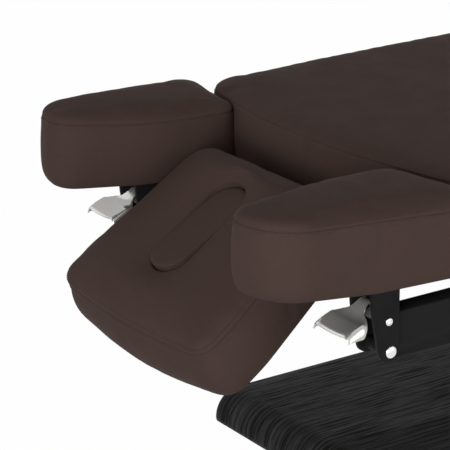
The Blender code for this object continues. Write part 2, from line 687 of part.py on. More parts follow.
def pivot_plate(name, side, tilt, bearer_x):
    """A flat arm from a bearer's end up to a tilt pivot, with its pivot pin welded on."""
    ear = PIVOT_EAR_RADIUS
    lean = 1 if tilt.x > bearer_x else -1
    half = BEARER_WIDTH / 2
    outline = rounded_outline([
        (tilt.x + lean * ear, TILT_Z + ear, ear * 0.98),
        (tilt.x - lean * ear, TILT_Z + ear, ear * 0.98),
        (bearer_x - lean * half, BEARER_TOP, PIVOT_PLATE_CORNER),
        (bearer_x - lean * half, BEARER_BOTTOM, PIVOT_PLATE_CORNER),
        (bearer_x + lean * half, BEARER_BOTTOM, PIVOT_PLATE_CORNER),
        (tilt.x + lean * ear * 0.6, TILT_Z - ear * 1.6, PIVOT_PLATE_BEND_RADIUS),
    ], 5)
    start = side * INNER_PLATE_Y
    end = side * (INNER_PLATE_Y + PIVOT_PLATE_THICKNESS)
    plate = finish(name, side_plate(outline, start, end), STEEL, 40)
    root = end - side * 2 * WELD_OVERLAP
    reach = end + side * (PIVOT_PLATE_THICKNESS + RUNNING_CLEARANCE)
    pin = rod((tilt.x, root, TILT_Z), (tilt.x, reach, TILT_Z), PIVOT_PIN_RADIUS)
    return combine(plate, finish("pin", pin, STEEL), "UNION")


def push_plate(tilt, arm, side_x, shaft, travel, y):
    """The plate that an actuator's roller pushes: it faces the shaft halfway through the travel."""
    point = Vector((tilt.x + side_x * arm[0], y, tilt.z - arm[1]))
    away = (point - Vector((shaft.x, y, shaft.z))).normalized()
    tip = actuator_tip(tilt, arm, side_x, travel)
    end = (tip - Vector((shaft.x, 0, shaft.z))).normalized()
    end_here = Matrix.Rotation(side_x * travel, 3, "Y") @ end
    facing_away = (away + end_here).normalized()
    near = point + facing_away * (ACTUATOR_ROLLER_RADIUS + PUSH_PLATE_CLEARANCE)
    up = Vector((0, 1, 0)).cross(facing_away).normalized()
    half = PUSH_PLATE_SIZE / 2
    wide = Vector((0, PUSH_PLATE_WIDTH / 2, 0))
    rings = []
    for depth in (0, PUSH_PLATE_THICKNESS):
        base = near + facing_away * depth
        rings.append([base + up * (half * a) + wide * b for a, b in ((-1, -1), (1, -1), (1, 1), (-1, 1))])
    return loft(rings), near + facing_away * PUSH_PLATE_THICKNESS, facing_away, up


def actuator_tip(tilt, arm, side_x, angle):
    """Where a push point goes when its section tilts up by an angle."""
    start = Vector((side_x * arm[0], 0, -arm[1]))
    return Vector((tilt.x, 0, tilt.z)) + Matrix.Rotation(-side_x * angle, 3, "Y") @ start


def pushed_bearer(name, x, half_length, tilt, arm, side_x, shaft, travel):
    """A bearer with an arm welded under it, which ends in the plate that an actuator pushes."""
    plate, behind, away, up = push_plate(tilt, arm, side_x, shaft, travel, shaft.y)
    tube = bearer(name, x, half_length)
    combine(tube, finish("plate", plate, STEEL), "UNION")
    root = behind - away * PUSH_ARM_BITE
    rise = up * PUSH_ARM_TIP_HEIGHT / 2
    weld = Vector((x, shaft.y, BEARER_BOTTOM + TUBE_WALL / 2))
    spread = Vector((-side_x * PUSH_ARM_ROOT_WIDTH / 2, 0, 0))
    thick = Vector((0, PUSH_ARM_THICKNESS / 2, 0))
    low, high = sorted((root - rise, root + rise), key=lambda p: p.z)
    corners = [low, high, weld + spread, weld - spread][::-side_x]
    web = loft([[c - thick for c in corners], [c + thick for c in corners]])
    return combine(tube, finish("web", web, STEEL), "UNION")


def tie_tube(name, x, height, half_length):
    """A square tube that ties two side members together."""
    shell = tube_along_y(x, height, -half_length, half_length, CROSS_TUBE_SIZE, CROSS_TUBE_SIZE)
    return finish(name, shell, STEEL, 40)


def back_beam(side, word):
    """A deep tube along one side, with the spacer tube of the armrest's pivot welded through it."""
    y = side * BEAM_Y
    middle = (BEAM_BOTTOM + RAIL_TOP) / 2
    head_x = SEAM_X + BEAM_HEAD_FROM_HEAD
    shell = tube_along_x(y, middle, head_x, BEAM_FOOT_X, BEAM_WIDTH, BEAM_HEIGHT, closed_head=True)
    beam = finish(f"back_beam_{word}", shell, STEEL, 40)
    half = BRACKET_INNER_WIDTH / 2 - RUNNING_CLEARANCE
    ends = [(ARM_PIVOT.x, y + k * half, ARM_PIVOT.z) for k in (-1, 1)]
    combine(beam, finish("spacer", rod(*ends, ARM_PIVOT_TUBE_RADIUS), STEEL), "UNION")
    drill = [(ARM_PIVOT.x, y + k * (half + DRILL_OVERRUN), ARM_PIVOT.z) for k in (-1, 1)]
    return hole(beam, *drill, ARM_PIVOT_BOLT_RADIUS + RUNNING_CLEARANCE)


def arm_pivot_bolt(side, word):
    profile = bolt_profile(ARM_PIVOT_BOLT_RADIUS, ARM_PIVOT_HEAD_RADIUS, ARM_PIVOT_HEAD_HEIGHT)
    y = side * (BEAM_Y + BRACKET_INNER_WIDTH / 2 + BRACKET_THICKNESS + SEAT_GAP)
    bolt = turned(profile, (ARM_PIVOT.x, y, ARM_PIVOT.z), (0, side, 0))
    return finish(f"arm_pivot_bolt_{word}", bolt, ZINC, 40)


def hanging_bearer(name, x):
    """The front bearer, with two lugs welded on that hang the headrest's axle ahead of it."""
    front = bearer(name, x, BEAM_Y + BEAM_WIDTH / 2)
    eye = HEADREST_EYE_RADIUS
    outline = rounded_outline([
        (HEADREST_AXLE.x - eye, HEADREST_AXLE.z + eye, eye * 0.95),
        (HEADREST_AXLE.x - eye, HEADREST_AXLE.z - eye, eye * 0.95),
        (x, BEARER_BOTTOM + HANGER_EDGE, HANGER_EDGE / 2),
        (x, BEARER_TOP - HANGER_EDGE, HANGER_EDGE / 2),
    ], 5)
    for side in (1, -1):
        lug = side_plate(outline, side * HANGER_Y, side * (HANGER_Y + HANGER_THICKNESS))
        combine(front, finish("lug", lug, STEEL), "UNION")
        depths = (-DRILL_OVERRUN, HANGER_THICKNESS + DRILL_OVERRUN)
        ends = [(HEADREST_AXLE.x, side * (HANGER_Y + depth), HEADREST_AXLE.z) for depth in depths]
        hole(front, *ends, HEADREST_AXLE_RADIUS + RUNNING_CLEARANCE)
    return front


def build_back(tilt_pivot):
    pieces = []
    rear_x = BACK_FOOT_X - HINGE_BEARER_FROM_PAD_END
    for side, word in ((1, "left"), (-1, "right")):
        pieces.append(back_beam(side, word))
        pieces.append(arm_pivot_bolt(side, word))
        pieces.append(pivot_plate(f"back_pivot_plate_{word}", side, BACK_TILT, rear_x))
    rear = ("back_bearer_rear", rear_x, INNER_PLATE_Y - SEAT_GAP)
    pieces.append(pushed_bearer(*rear, BACK_TILT, BACK_PUSH_ARM, -1, BACK_SHAFT, BACK_TRAVEL))
    pieces.append(hanging_bearer("back_bearer_front", SEAM_X + FRONT_BEARER_FROM_HEAD))
    reach = HANGER_Y + HANGER_THICKNESS + AXLE_PAST_HANGER
    ends = [(HEADREST_AXLE.x, k * reach, HEADREST_AXLE.z) for k in (-1, 1)]
    pieces.append(finish("headrest_axle", rod(*ends, HEADREST_AXLE_RADIUS), ZINC, 40))
    span = BEAM_Y - BEAM_WIDTH / 2 - SEAT_GAP
    tie = RAIL_TOP - BEAM_HEIGHT / 2
    pieces.append(tie_tube("back_cross_tube", BACK_TILT.x - BACK_TIE_FROM_TILT, tie, span))
    outline = back_outline()
    start = SEAM_X + BACK_HEAD_FROM_HEAD + BACK_HEAD_CORNER_SET_BACK + BACK_BOARD_BEHIND_CORNER
    plan = [Vector((max(p.x, start), p.y)) for p in inset(outline, BOARD_INSET)]
    pieces.append(finish("back_board", slab(tidy(plan), BOARD_BOTTOM, BOARD_TOP), PLYWOOD, 40))
    form = pad(even_points(outline, PAD_POINT_SPACING), BOARD_BOTTOM, PAD_SEAM_HEIGHT, PAD_CROWN)
    pieces.append(finish("back_pad", form, UPHOLSTERY, 60))
    carry(tilt_pivot, *pieces)


def tidy(outline):
    """Drop points of an outline that fall on their neighbour or on a straight stretch."""
    kept = [p for i, p in enumerate(outline) if (p - outline[i - 1]).length > 0.0005]
    count = len(kept)
    corners = []
    for i, here in enumerate(kept):
        before = here - kept[i - 1]
        after = kept[(i + 1) % count] - here
        if abs(before.normalized().cross(after.normalized())) > 0.001:
            corners.append(here)
    return corners


def back_outline():
    head = SEAM_X + BACK_HEAD_FROM_HEAD
    corner = head + BACK_HEAD_CORNER_SET_BACK
    return rounded_outline([
        (head, 0, BACK_HEAD_BOW_RADIUS),
        (corner, -BACK_HEAD_HALF_WIDTH, BACK_HEAD_CORNER_RADIUS),
        (BACK_FOOT_X, -PAD_HALF_WIDTH, PAD_CORNER_RADIUS),
        (BACK_FOOT_X, PAD_HALF_WIDTH, PAD_CORNER_RADIUS),
        (corner, BACK_HEAD_HALF_WIDTH, BACK_HEAD_CORNER_RADIUS),
    ], 6)


def bolt_profile(radius, head_radius, head_height):
    """A button-head bolt with its nut, drawn from the nut along the bolt to the crown of the head."""
    grip = BRACKET_INNER_WIDTH + 2 * BRACKET_THICKNESS + 2 * SEAT_GAP
    nut = head_radius * 0.9
    return [
        (-grip - radius * 1.6, radius),
        (-grip - radius * 1.2, radius),
        (-grip - radius * 1.2, nut),
        (-grip, nut),
        (-grip, radius),
        (0, radius),
        (0, head_radius),
        (head_height * 0.35, head_radius * 0.97),
        (head_height * 0.75, head_radius * 0.78),
        (head_height, head_radius * 0.45),
    ]


def headrest_outline():
    """Plan on the headrest's slope: wider at the head end, whose edge bows ahead of its corners."""
    front = HEADREST_FRONT_WIDTH / 2
    foot = HEADREST_FOOT_WIDTH / 2
    peak = 1.35 * HEADREST_BOW
    slope = math.atan(peak / front)
    bow_radius = (peak - HEADREST_BOW) / (1 / math.cos(slope) - 1)
    return rounded_outline([
        (-peak, 0, bow_radius),
        (0, -front, HEADREST_CORNER_RADIUS),
        (HEADREST_LENGTH, -foot, HEADREST_CORNER_RADIUS),
        (HEADREST_LENGTH, foot, HEADREST_CORNER_RADIUS),
        (0, front, HEADREST_CORNER_RADIUS),
    ], 5)


def headrest_arm(side, word):
    """A flat steel arm under the headrest's board, which drops to an eye on the axle."""
    y0 = side * HEADREST_ARM_SPACING / 2 - HEADREST_ARM_WIDTH / 2
    y1 = y0 + HEADREST_ARM_WIDTH
    eye = HEADREST_EYE_RADIUS
    under = HEADREST_ARM_TOP - HEADREST_ARM_THICKNESS
    edge = HEADREST_ARM_THICKNESS / 4
    bend = HEADREST_ARM_THICKNESS * 1.25
    outline = rounded_outline([
        (HEADREST_ARM_START, HEADREST_ARM_TOP, edge),
        (HEADREST_ARM_START, under, edge),
        (HEADREST_LENGTH - BOARD_INSET, under, bend),
        (AXLE_U - eye, AXLE_N - eye, eye * 0.9),
        (AXLE_U + eye, AXLE_N - eye, eye * 0.95),
        (AXLE_U + eye, AXLE_N + eye, eye * 0.95),
        (AXLE_U - eye, AXLE_N + eye, eye * 0.4),
        (HEADREST_LENGTH - BOARD_INSET, HEADREST_ARM_TOP, bend),
    ], 4)
    arm = finish(f"headrest_arm_{word}", side_plate(outline, y0, y1), STEEL, 40, HEADREST_FRAME)
    ends = [(AXLE_U, y, AXLE_N) for y in (y0 - DRILL_OVERRUN, y1 + DRILL_OVERRUN)]
    bore = rod(*ends, HEADREST_AXLE_RADIUS + RUNNING_CLEARANCE)
    return combine(arm, finish("bore", bore, STEEL, None, HEADREST_FRAME), "DIFFERENCE")


def build_headrest(tilt_pivot, plug_pivot):
    plan = headrest_outline()
    outline = even_points(plan, HEADREST_POINT_SPACING)
    slot = slot_outline(outline)
    form = slotted_pad(outline, slot, -HEADREST_SEAM_HEIGHT, HEADREST_SEAM_HEIGHT, HEADREST_CROWN)
    cushion = finish("headrest_pad", form, UPHOLSTERY, 60, HEADREST_FRAME)
    backing = slab(tidy(inset(plan, BOARD_INSET)), HEADREST_BOARD_BOTTOM, HEADREST_BOARD_TOP)
    board = finish("headrest_board", backing, PLYWOOD, 40, HEADREST_FRAME)
    vent = slot_outline(outline, SLOT_LEDGE)
    cut = slab(vent, HEADREST_BOARD_BOTTOM - DRILL_OVERRUN, HEADREST_BOARD_TOP + DRILL_OVERRUN)
    combine(board, finish("vent", cut, PLYWOOD, None, HEADREST_FRAME), "DIFFERENCE")
    carry(tilt_pivot, cushion, board, headrest_arm(1, "left"), headrest_arm(-1, "right"))
    carry(plug_pivot, build_plug(slot_outline(outline, PLUG_CLEARANCE)))


def build_plug(outline):
    """The loose cushion that fills the face slot: it leans, proud at the head end and sunk at the other."""
    high = HEADREST_CROWN + PLUG_PROUD
    low = HEADREST_CROWN - PLUG_SUNK
    start = SLOT_FROM_SEAM - SLOT_LENGTH / 2

    def top_at(x):
        return high + (low - high) * (x - start) / SLOT_LENGTH

    def ring(width, depth):
        edge = inset(outline, PLUG_ROLL_WIDTH * width)
        return [(p.x, p.y, top_at(p.x) - PLUG_ROLL_DEPTH * depth) for p in edge]

    seat = HEADREST_BOARD_TOP + SEAT_GAP
    foot = [(p.x, p.y, seat) for p in inset(outline, PLUG_TAPER)]
    rings = [foot, ring(0.0, 1.0), ring(0.18, 0.44), ring(0.55, 0.12), ring(1.0, 0.0)]
    return finish("face_plug", loft(rings), UPHOLSTERY, 60, HEADREST_FRAME)


def armrest_outline(side):
    spots = (
        ARMREST_HEAD_INNER, ARMREST_HEAD_OUTER, ARMREST_FOOT_OUTER, ARMREST_FOOT_INNER, ARMREST_INNER_BEND,
    )
    shift = ARMREST_LEFT_HEAD_SHIFT if side > 0 else ARMREST_RIGHT_HEAD_SHIFT
    shifts = (shift, shift, 0, 0, 0)
    corners = [
        (SEAM_X + s + moved, side * y, radius)
        for (s, y), moved, radius in zip(spots, shifts, ARMREST_RADII)
    ]
    return rounded_outline(corners, 7)


def build_armrest(side, word, drop, lever):
    outline = armrest_outline(side)
    form = pad(even_points(outline, ARMREST_POINT_SPACING), BOARD_BOTTOM, PAD_SEAM_HEIGHT, PAD_CROWN)
    pieces = [finish(f"armrest_pad_{word}", form, UPHOLSTERY, 60)]
    plan = inset(outline, BOARD_INSET)
    pieces.append(finish(f"armrest_board_{word}", slab(tidy(plan), BOARD_BOTTOM, BOARD_TOP), PLYWOOD, 40))
    pieces.append(armrest_bracket(side, word))
    axle = bolt_profile(LEVER_AXLE_RADIUS, LEVER_AXLE_HEAD_RADIUS, LEVER_AXLE_HEAD_HEIGHT)
    y = side * (BEAM_Y + BRACKET_INNER_WIDTH / 2 + BRACKET_THICKNESS + SEAT_GAP)
    place = (LEVER_AXLE.x, y, LEVER_AXLE.z)
    pieces.append(finish(f"lever_axle_bolt_{word}", turned(axle, place, (0, side, 0)), ZINC, 40))
    carry(drop, *pieces)
    carry(lever, build_lever(side, word))


def armrest_bracket(side, word):
    """A bent U of flat bar: two tapered legs that straddle the beam, and a web under the armrest board."""
    top = BOARD_BOTTOM - SEAT_GAP
    end = BRACKET_END_RADIUS
    foot_x = ARM_PIVOT.x + BRACKET_BEHIND_PIVOT
    head_x = foot_x - BRACKET_TOP_WIDTH
    outline = rounded_outline([
        (head_x, top, BRACKET_EDGE),
        (head_x + BRACKET_TAPER, ARM_PIVOT.z + BRACKET_BEND_ABOVE_PIVOT, BRACKET_BEND_RADIUS),
        (ARM_PIVOT.x - end, ARM_PIVOT.z - end * 0.6, end * 0.9),
        (foot_x, ARM_PIVOT.z - end * 1.15, end * 0.8),
        (foot_x, top, BRACKET_EDGE),
    ], 5)
    centre = side * BEAM_Y
    inner = BRACKET_INNER_WIDTH / 2
    outer = inner + BRACKET_THICKNESS
    near_leg = side_plate(outline, centre - outer, centre - inner)
    far_leg = side_plate(outline, centre + inner, centre + outer)
    bracket = finish(f"armrest_bracket_{word}", near_leg, STEEL, 40)
    combine(bracket, finish("leg", far_leg, STEEL), "UNION")
    plan = rounded_outline(rectangle(head_x, centre - outer, foot_x, centre + outer, BRACKET_EDGE), 1)
    combine(bracket, finish("web", slab(plan, top - BRACKET_THICKNESS, top), STEEL), "UNION")
    for place, radius in ((ARM_PIVOT, ARM_PIVOT_BOLT_RADIUS), (LEVER_AXLE, LEVER_AXLE_RADIUS)):
        ends = [(place.x, centre + k * (outer + DRILL_OVERRUN), place.z) for k in (-1, 1)]
        hole(bracket, *ends, radius + RUNNING_CLEARANCE)
    return bracket


def lever_path():
    """Side view of a lever's sheet from hub to lip, as (x, z, flare, dish) rows."""
    hub_top = LEVER_AXLE.z + LEVER_HUB_RADIUS
    stem_z = LEVER_AXLE.z + LEVER_STEM_RISE
    bend_x = LEVER_AXLE.x - LEVER_STEM_REACH
    paddle_z = stem_z - LEVER_BEND_DROP

    def on_stem(share):
        return LEVER_AXLE.x - LEVER_STEM_REACH * share

    rows = [
        (on_stem(0.0), hub_top - LEVER_SHEET * 0.6, 0.0, 0.0),
        (on_stem(0.15), hub_top + (stem_z - hub_top) * 0.35, 0.0, 0.0),
        (on_stem(0.35), stem_z - LEVER_SHEET * 0.4, 0.0, 0.0),
        (on_stem(0.65), stem_z, 0.0, 0.0),
        (on_stem(0.90), stem_z - LEVER_BEND_DROP * 0.12, 0.10, 0.0),
        (bend_x, stem_z - LEVER_BEND_DROP * 0.5, 0.6, 0.2),
    ]
    paddle_rows = 6
    for k in range(paddle_rows):
        share = k / (paddle_rows - 1)
        x = bend_x - LEVER_LIP - LEVER_PADDLE_LENGTH * share
        rows.append((x, paddle_z - LEVER_PADDLE_DROP * share, 1.0, 1.0))
    tip_x = bend_x - LEVER_LIP * 1.7 - LEVER_PADDLE_LENGTH
    rows.append((tip_x, paddle_z - LEVER_PADDLE_DROP - LEVER_LIP, 0.92, 1.0))
    return rows


def build_lever(side, word):
    """A polished sheet bent into a stem and a dished paddle, welded to a hub on the lever axle."""
    columns = 8
    stem_inner = BEAM_Y - LEVER_STEM_WIDTH * 0.75
    paddle_inner = BEAM_Y - LEVER_PADDLE_WIDTH / 2
    path = lever_path()
    upper = []
    lower = []
    for i, (x, z, flare, dish) in enumerate(path):
        before = path[max(i - 1, 0)]
        after = path[min(i + 1, len(path) - 1)]
        along = Vector((after[0] - before[0], 0, after[1] - before[1])).normalized()
        normal = Vector((along.z, 0, -along.x))
        width = LEVER_STEM_WIDTH + (LEVER_PADDLE_WIDTH - LEVER_STEM_WIDTH) * flare
        inner = stem_inner + (paddle_inner - stem_inner) * flare
        row_up = []
        row_down = []
        for k in range(columns + 1):
            across = k / columns
            rise = LEVER_DISH * dish * (2 * across - 1) ** 2
            centre = Vector((x, side * (inner + width * across), z + rise))
            row_up.append(centre + normal * LEVER_SHEET / 2)
            row_down.append(centre - normal * LEVER_SHEET / 2)
        upper.append(row_up)
        lower.append(row_down)
    rings = [up + down[::-1] for up, down in zip(upper, lower)]
    sheet = finish(f"armrest_lever_{word}", loft(rings), CHROME, 50)
    half = BRACKET_INNER_WIDTH / 2 - RUNNING_CLEARANCE
    y = side * BEAM_Y
    hub_ends = [(LEVER_AXLE.x, y + k * half, LEVER_AXLE.z) for k in (-1, 1)]
    combine(sheet, finish("hub", rod(*hub_ends, LEVER_HUB_RADIUS), CHROME), "UNION")
    ends = [(LEVER_AXLE.x, y + k * (half + DRILL_OVERRUN), LEVER_AXLE.z) for k in (-1, 1)]
    return hole(sheet, *ends, LEVER_AXLE_RADIUS + RUNNING_CLEARANCE)


def build_leg(tilt_pivot):
    pieces = []
    head_x = LEG_HEAD_X + HINGE_BEARER_FROM_PAD_END
    foot_x = LEG_FOOT_X - FOOT_BEARER_FROM_PAD_END
    rail_middle = BEARER_BOTTOM - SEAT_GAP - LEG_RAIL_HEIGHT / 2
    rail_y = LEG_RAIL_SPACING / 2
    x0 = head_x - BEARER_WIDTH / 2
    x1 = foot_x + BEARER_WIDTH / 2
    for side, word in ((1, "left"), (-1, "right")):
        pieces.append(pivot_plate(f"leg_pivot_plate_{word}", side, LEG_TILT, head_x))
        rail = tube_along_x(side * rail_y, rail_middle, x0, x1, LEG_RAIL_WIDTH, LEG_RAIL_HEIGHT)
        pieces.append(finish(f"leg_rail_{word}", rail, STEEL, 40))
    head = ("leg_bearer_head", head_x, INNER_PLATE_Y - SEAT_GAP)
    pieces.append(pushed_bearer(*head, LEG_TILT, LEG_PUSH_ARM, 1, LEG_SHAFT, LEG_TRAVEL))
    pieces.append(bearer("leg_bearer_foot", foot_x, LEG_FOOT_HALF_WIDTH - FOOT_BEARER_INSET))
    span = rail_y - LEG_RAIL_WIDTH / 2 - SEAT_GAP
    pieces.append(tie_tube("leg_cross_tube", LEG_TILT.x + LEG_TIE_FROM_TILT, rail_middle, span))
    outline = rounded_outline([
        (LEG_HEAD_X, -PAD_HALF_WIDTH, PAD_CORNER_RADIUS),
        (LEG_FOOT_X, -LEG_FOOT_HALF_WIDTH, LEG_FOOT_CORNER_RADIUS),
        (LEG_FOOT_X, LEG_FOOT_HALF_WIDTH, LEG_FOOT_CORNER_RADIUS),
        (LEG_HEAD_X, PAD_HALF_WIDTH, PAD_CORNER_RADIUS),
    ], 6)
    pieces.extend(board_and_pad("leg", outline))
    carry(tilt_pivot, *pieces)


def actuator_motor(base, along, up):
    """The motor housing on an actuator's tube: a block with rounded edges along its length."""
    length, width, height = ACTUATOR_MOTOR_SIZE
    edge = ACTUATOR_MOTOR_EDGE
    rings = []
    for distance, trim in ((0, edge), (edge, 0), (length - edge, 0), (length, edge)):
        section = rectangle(trim - width / 2, trim, width / 2 - trim, height - trim, ACTUATOR_MOTOR_CORNER)
        start = base + along * distance
        rings.append([start + Vector((0, p.x, 0)) + up * p.y for p in rounded_outline(section, 3)])
    return loft(rings)


def build_actuator(word, tilt, arm, side_x, shaft, swing, stroke, motor_side):
    """A linear actuator: a motor and tube that swing on the rear shaft, and a rod with a push roller."""
    tip = actuator_tip(tilt, arm, side_x, 0.0)
    tip.y = shaft.y
    along = (tip - shaft).normalized()
    tube_end = (tip - shaft).length - ACTUATOR_ROD_SHOWN
    eye_half = Vector((0, ACTUATOR_EYE_WIDTH / 2, 0))
    over = Vector((0, DRILL_OVERRUN, 0))
    start = shaft + along * ACTUATOR_EYE_RADIUS * 0.7
    barrel = rod(start, shaft + along * tube_end, ACTUATOR_TUBE_RADIUS)
    tube = finish(f"{word}_actuator", barrel, BLACK_PLASTIC, 40)
    eye = rod(shaft - eye_half, shaft + eye_half, ACTUATOR_EYE_RADIUS)
    combine(tube, finish("eye", eye, BLACK_PLASTIC), "UNION")
    up = along.cross(Vector((0, 1, 0)))
    if up.z * motor_side < 0:
        up = -up
    base = shaft + along * ACTUATOR_MOTOR_FROM_SHAFT + up * (ACTUATOR_TUBE_RADIUS / 2)
    combine(tube, finish("motor", actuator_motor(base, along, up), BLACK_PLASTIC), "UNION")
    hole(tube, shaft - eye_half - over, shaft + eye_half + over, ACTUATOR_SHAFT_RADIUS + RUNNING_CLEARANCE)
    rod_start = tube_end - stroke - ACTUATOR_ROD_GUIDED
    bore_start = shaft + along * (rod_start - ACTUATOR_BORE_SPARE)
    bore_end = shaft + along * (tube_end + DRILL_OVERRUN)
    hole(tube, bore_start, bore_end, ACTUATOR_ROD_RADIUS + GLIDE_CLEARANCE)
    bar = rod(shaft + along * rod_start, tip - along * ACTUATOR_ROLLER_RADIUS / 4, ACTUATOR_ROD_RADIUS)
    piece = finish(f"{word}_actuator_rod", bar, ZINC, 40)
    half = Vector((0, ACTUATOR_ROLLER_WIDTH / 2, 0))
    combine(piece, finish("roller", rod(tip - half, tip + half, ACTUATOR_ROLLER_RADIUS), ZINC), "UNION")
    carry(swing, tube)
    carry(pivot(f"{word}_actuator_slide", tip, swing), piece)


def stroke_of(tilt, arm, side_x, shaft, travel):
    centre = Vector((shaft.x, 0, shaft.z))
    closed = (actuator_tip(tilt, arm, side_x, 0.0) - centre).length
    opened = (actuator_tip(tilt, arm, side_x, travel) - centre).length
    return opened - closed


remove_everything()
UPHOLSTERY = principled("upholstery", (0.042, 0.028, 0.026), 0.48)
STEEL = principled("black_steel", (0.017, 0.017, 0.017), 0.45, 0.2)
CHROME = principled("chrome", (0.62, 0.61, 0.59), 0.10, 1.0)
ZINC = principled("zinc", (0.60, 0.60, 0.60), 0.28, 1.0)
ALUMINIUM = principled("aluminium", (0.45, 0.45, 0.46), 0.38, 1.0)
WOOD = principled("black_wood", (0.020, 0.020, 0.020), 0.55)
PLYWOOD = principled("plywood", (0.022, 0.020, 0.019), 0.60)
BLACK_PLASTIC = principled("black_plastic", (0.015, 0.015, 0.016), 0.50)
RUBBER = principled("rubber", (0.02, 0.02, 0.02), 0.80)

lift_pivot = pivot("lift_stage", (COLUMN_X, 0, COLUMN_HEAD))
middle_pivot = pivot("lift_middle_stage", (COLUMN_X, 0, COLUMN_FOOT))
back_pivot = pivot("back_tilt_axis", BACK_TILT, lift_pivot)
leg_pivot = pivot("leg_tilt_axis", LEG_TILT, lift_pivot)
headrest_pivot = pivot("headrest_tilt_axis", HEADREST_AXLE, back_pivot)
plug_pivot = pivot("plug_seat", HEADREST_FRAME @ Vector((SLOT_FROM_SEAM, 0, 0)), headrest_pivot)

build_plinth()
build_column(lift_pivot, middle_pivot)
build_chassis(lift_pivot)
build_back(back_pivot)
build_headrest(headrest_pivot, plug_pivot)
for hand, label in ((1, "left"), (-1, "right")):
    mirrored = Vector((1, hand, 1))
    drop_pivot = pivot(f"armrest_drop_axis_{label}", ARM_PIVOT * mirrored, back_pivot)
    lever_pivot = pivot(f"lever_axis_{label}", LEVER_AXLE * mirrored, drop_pivot)
    build_armrest(hand, label, drop_pivot, lever_pivot)
build_leg(leg_pivot)
back_stroke = stroke_of(BACK_TILT, BACK_PUSH_ARM, -1, BACK_SHAFT, BACK_TRAVEL)
leg_stroke = stroke_of(LEG_TILT, LEG_PUSH_ARM, 1, LEG_SHAFT, LEG_TRAVEL)
back_swing = pivot("back_actuator_axis", BACK_SHAFT, lift_pivot)
leg_swing = pivot("leg_actuator_axis", LEG_SHAFT, lift_pivot)
build_actuator("back", BACK_TILT, BACK_PUSH_ARM, -1, BACK_SHAFT, back_swing, back_stroke, -1)
build_actuator("leg", LEG_TILT, LEG_PUSH_ARM, 1, LEG_SHAFT, leg_swing, leg_stroke, 1)
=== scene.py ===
import json
import math

import bmesh
import bpy
from mathutils import Matrix, Vector, noise


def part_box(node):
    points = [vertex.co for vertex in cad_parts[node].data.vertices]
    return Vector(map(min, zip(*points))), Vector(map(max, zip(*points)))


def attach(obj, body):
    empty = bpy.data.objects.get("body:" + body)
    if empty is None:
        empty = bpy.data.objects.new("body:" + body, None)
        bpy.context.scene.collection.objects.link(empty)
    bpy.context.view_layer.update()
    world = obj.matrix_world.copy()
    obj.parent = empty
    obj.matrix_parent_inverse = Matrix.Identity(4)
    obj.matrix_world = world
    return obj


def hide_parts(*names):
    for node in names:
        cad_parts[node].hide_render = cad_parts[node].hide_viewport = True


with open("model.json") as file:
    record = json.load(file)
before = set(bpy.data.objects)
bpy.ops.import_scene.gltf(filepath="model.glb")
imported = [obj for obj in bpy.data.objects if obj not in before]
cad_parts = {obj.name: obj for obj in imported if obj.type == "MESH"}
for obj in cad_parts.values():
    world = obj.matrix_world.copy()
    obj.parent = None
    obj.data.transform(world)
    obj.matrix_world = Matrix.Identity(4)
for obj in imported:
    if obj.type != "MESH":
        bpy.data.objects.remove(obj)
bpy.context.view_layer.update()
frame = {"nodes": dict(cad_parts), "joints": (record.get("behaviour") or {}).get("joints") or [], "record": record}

# Places taken from the frame
JOINT_PLACE = {joint["name"]: Vector(joint["pos_m"]) for joint in frame["joints"] if "pos_m" in joint}
SLOT_OF = {part["node"]: part["material_slot"] for part in frame["record"]["subparts"]}
BODY_OF = {node: body for body, nodes in frame["record"]["behaviour"]["bodies"].items() for node in nodes}
PAD_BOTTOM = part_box("back_pad")[0].z
BOARD_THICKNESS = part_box("back_board")[1].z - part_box("back_board")[0].z

# Camera of the photograph
CAMERA_PLACE = (-2.7275, -2.819, 1.680)
CAMERA_TURN = (math.radians(70.94), 0.0, math.radians(-34.448))
CAMERA_LENS = 175.05
CAMERA_SENSOR = 36.0
CAMERA_RANGE = 100.0

# Studio, with lamps as (name, place, diameter, watts)
WORLD_STRENGTH = 0.28
LAMPS = (
    ("key", (-6.0, -3.6, 1.3), 4.0, 320.0),
    ("fill", (1.5, -6.5, 1.3), 4.0, 175.0),
    ("rim", (-2.2, 3.0, 2.6), 2.0, 10.0),
)
LAMP_TARGET = Vector((-0.45, 0.0, 0.45))
WHITE = (1, 1, 1, 1)
FLOOR_REACH = 30.0
FLOOR_TONE = (0.86, 0.86, 0.86, 1)
FLOOR_ROUGHNESS = 0.9
FLOOR_GLOW = 0.985

# Sewn covers, in metres
SEAM_HEIGHT = 0.114
PAD_CROWN = 0.011
PAD_CROWN_POWER = 2.4
TOP_SWELL = 0.003
BOX_BULGE = 0.002
POCKET_INSET = 0.0245
POCKET_CLEARANCE = 0.0003
JOIN_DEPTH = 0.0035
COLUMN_SPACING = 0.012
ARC_STEPS = 16
FEWEST_POINTS = 12

# Section of a boxed cover above its pocket: the underside's roll, the side's swell as shares of the bulge
# and of the side's height, then the seam and the top's roll from the seam, as (inset, height) rows
UNDER_ROLL = ((0.0160, 0.0), (0.0095, 0.0006), (0.0042, 0.0042), (0.0010, 0.0120))
SIDE_SWELL = ((0.60, 0.26), (0.92, 0.42), (1.00, 0.57), (0.75, 0.72), (0.35, 0.83))
SEAM_GROOVE = ((0.0, -0.0100), (0.0008, -0.0055), (0.0008, -0.0012), (0.0050, 0.0), (0.0010, 0.0012))
TOP_ROLL = ((0.0044, 0.0048), (0.0090, 0.0076), (0.0165, 0.0096), (0.0280, 0.0108))
TOP_SHARES = (0.93, 0.85, 0.75, 0.63, 0.51, 0.39, 0.27, 0.15, 0.05)
UNDER_ROW = 2
STITCH_ROW = 12
SEAM_ROW = 14
HELD_ROWS = (0, 1, 2, 3, 4, SEAM_ROW - 1, SEAM_ROW, SEAM_ROW + 1)
